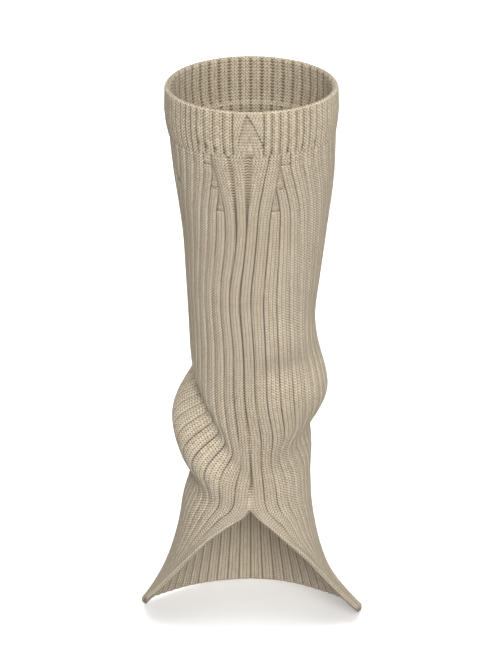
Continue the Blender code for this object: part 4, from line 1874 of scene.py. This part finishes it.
@dataclass
class YarnHalo:
    """The short loose fibres that stand off a knitted piece."""

    trees: GeometryTrees
    material: bpy.types.Material
    density: float = 90000.0
    quick_share: float = 0.25
    length: float = 2.0

    def build(self, cloth: bpy.types.Object, name: str, slot: str, seed: int) -> bpy.types.Object:
        """Scatter fibres over a finished piece.

        Args:
            cloth: The knitted piece.
            name: The new piece's name.
            slot: Not used.
            seed: The seed of the scatter.

        Returns:
            The fibres as one mesh.
        """
        copy = put_in_scene(name + "_base", cloth.data.copy())
        values = {
            "Density": self.density * 1.0,
            "Fibre length": self.length * METRES,
            "Seed": seed,
            "Material": self.material,
        }
        piece = realise(copy, self.trees.fibres, name, values)
        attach(piece, "root")
        return piece


@dataclass
class Studio:
    """The pale floor, the soft lights and the camera at the photograph's viewing angle."""

    distance: float = 2.5
    elevation: float = 21.0
    target: tuple[float, float, float] = (-0.0005, 0.0, -0.166)
    frame_height: float = 0.4669
    sensor_width: float = 36.0
    world_strength: float = 0.5
    floor_half: float = 12.0
    floor_tone: float = 0.97
    floor_glow: float = 0.22
    lights: tuple[tuple[str, tuple[float, float, float], float, float], ...] = (
        ("key", (0.2, -2.1, 0.92), 33.0, 0.8),
        ("fill", (0.5, -2.1, -0.05), 14.0, 0.8),
        ("top", (0.1, 0.1, 2.2), 46.0, 2.4),
        ("back", (-0.4, 2.2, 0.6), 14.0, 1.2),
    )

    def build_camera(self) -> None:
        """Place the camera."""
        data = bpy.data.cameras.new("camera")
        data.sensor_width = self.sensor_width
        data.lens = self.sensor_width * self.distance / self.frame_height
        data.clip_start = 0.05
        data.clip_end = 50.0
        camera = put_in_scene("camera", data)
        angle = math.radians(self.elevation)
        back = Vector((0.0, -math.cos(angle), math.sin(angle)))
        camera.location = Vector(self.target) + back * self.distance
        self.aim(camera, -back)
        bpy.context.scene.camera = camera

    @staticmethod
    def aim(piece: bpy.types.Object, direction: Vector) -> None:
        """Turn a camera or a light to look in a direction."""
        piece.rotation_mode = "QUATERNION"
        piece.rotation_quaternion = direction.to_track_quat("-Z", "Y")

    def build_floor(self) -> None:
        """Lay a wide, plain, pale floor under the hem."""
        mesh = bpy.data.meshes.new("floor")
        half = self.floor_half
        level = -HOLD_HEIGHT * METRES
        sides = ((-half, -half), (half, -half), (half, half), (-half, half))
        mesh.from_pydata([(x, y, level) for x, y in sides], [], [(0, 1, 2, 3)])
        material = bpy.data.materials.new("pale_floor")
        material.use_nodes = True
        shader = material.node_tree.nodes["Principled BSDF"]
        tone = self.floor_tone
        shader.inputs["Base Color"].default_value = (tone, tone, tone, 1.0)
        shader.inputs["Roughness"].default_value = 0.9
        shader.inputs["Specular IOR Level"].default_value = 0.1
        shader.inputs["Emission Color"].default_value = (1.0, 1.0, 1.0, 1.0)
        shader.inputs["Emission Strength"].default_value = self.floor_glow
        mesh.materials.append(material)
        floor = put_in_scene("floor", mesh)
        floor.visible_diffuse = False

    def add_area(
        self, name: str, place: tuple[float, float, float], power: float, size: float
    ) -> None:
        """Add a soft square light that looks at the middle of the object."""
        data = bpy.data.lights.new(name, "AREA")
        data.energy = power
        data.size = size
        light = put_in_scene(name, data)
        light.location = place
        self.aim(light, Vector(self.target) - Vector(place))

    def build(self) -> None:
        """Build the whole setting."""
        self.build_camera()
        self.build_floor()
        world = bpy.data.worlds.new("studio")
        world.use_nodes = True
        background = world.node_tree.nodes["Background"]
        background.inputs["Color"].default_value = (1.0, 1.0, 1.0, 1.0)
        background.inputs["Strength"].default_value = self.world_strength
        bpy.context.scene.world = world
        for name, place, power, size in self.lights:
            self.add_area(name, place, power, size)
        bpy.context.scene.view_settings.view_transform = "Standard"


def report_piece(piece: bpy.types.Object) -> None:
    """Log a piece's name and its number of triangles."""
    triangles = sum(len(face.vertices) - 2 for face in piece.data.polygons)
    LOG.info("%s: %d triangles", piece.name, triangles)


def main() -> None:
    """Build the leg warmer and its setting."""
    logging.basicConfig(level=logging.INFO, format="%(message)s")
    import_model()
    Studio().build()
    shading = KnitShading()
    trees = GeometryTrees()
    tube_material = KnitMaterial(TUBE_YARN, shading).build()
    cuff_material = KnitMaterial(CUFF_YARN, shading).build()
    tube = LegTube(TubeShape(), trees, tube_material).build()
    report_piece(tube)
    cuff_shape = CuffShape()
    cuff = Cuff(cuff_shape, trees, cuff_material).build()
    report_piece(cuff)
    seam = LinkedSeam(cuff_shape, trees, cuff_material).build()
    report_piece(seam)
    halo = YarnHalo(trees, tube_material)
    tube_fibres = halo.build(tube, "leg_tube_fibres", "leg_tube_knit", 11)
    cuff_fibres = halo.build(cuff, "cuff_fibres", "cuff_knit", 12)
    report_piece(tube_fibres)
    report_piece(cuff_fibres)


if __name__ == "__main__":
    main()
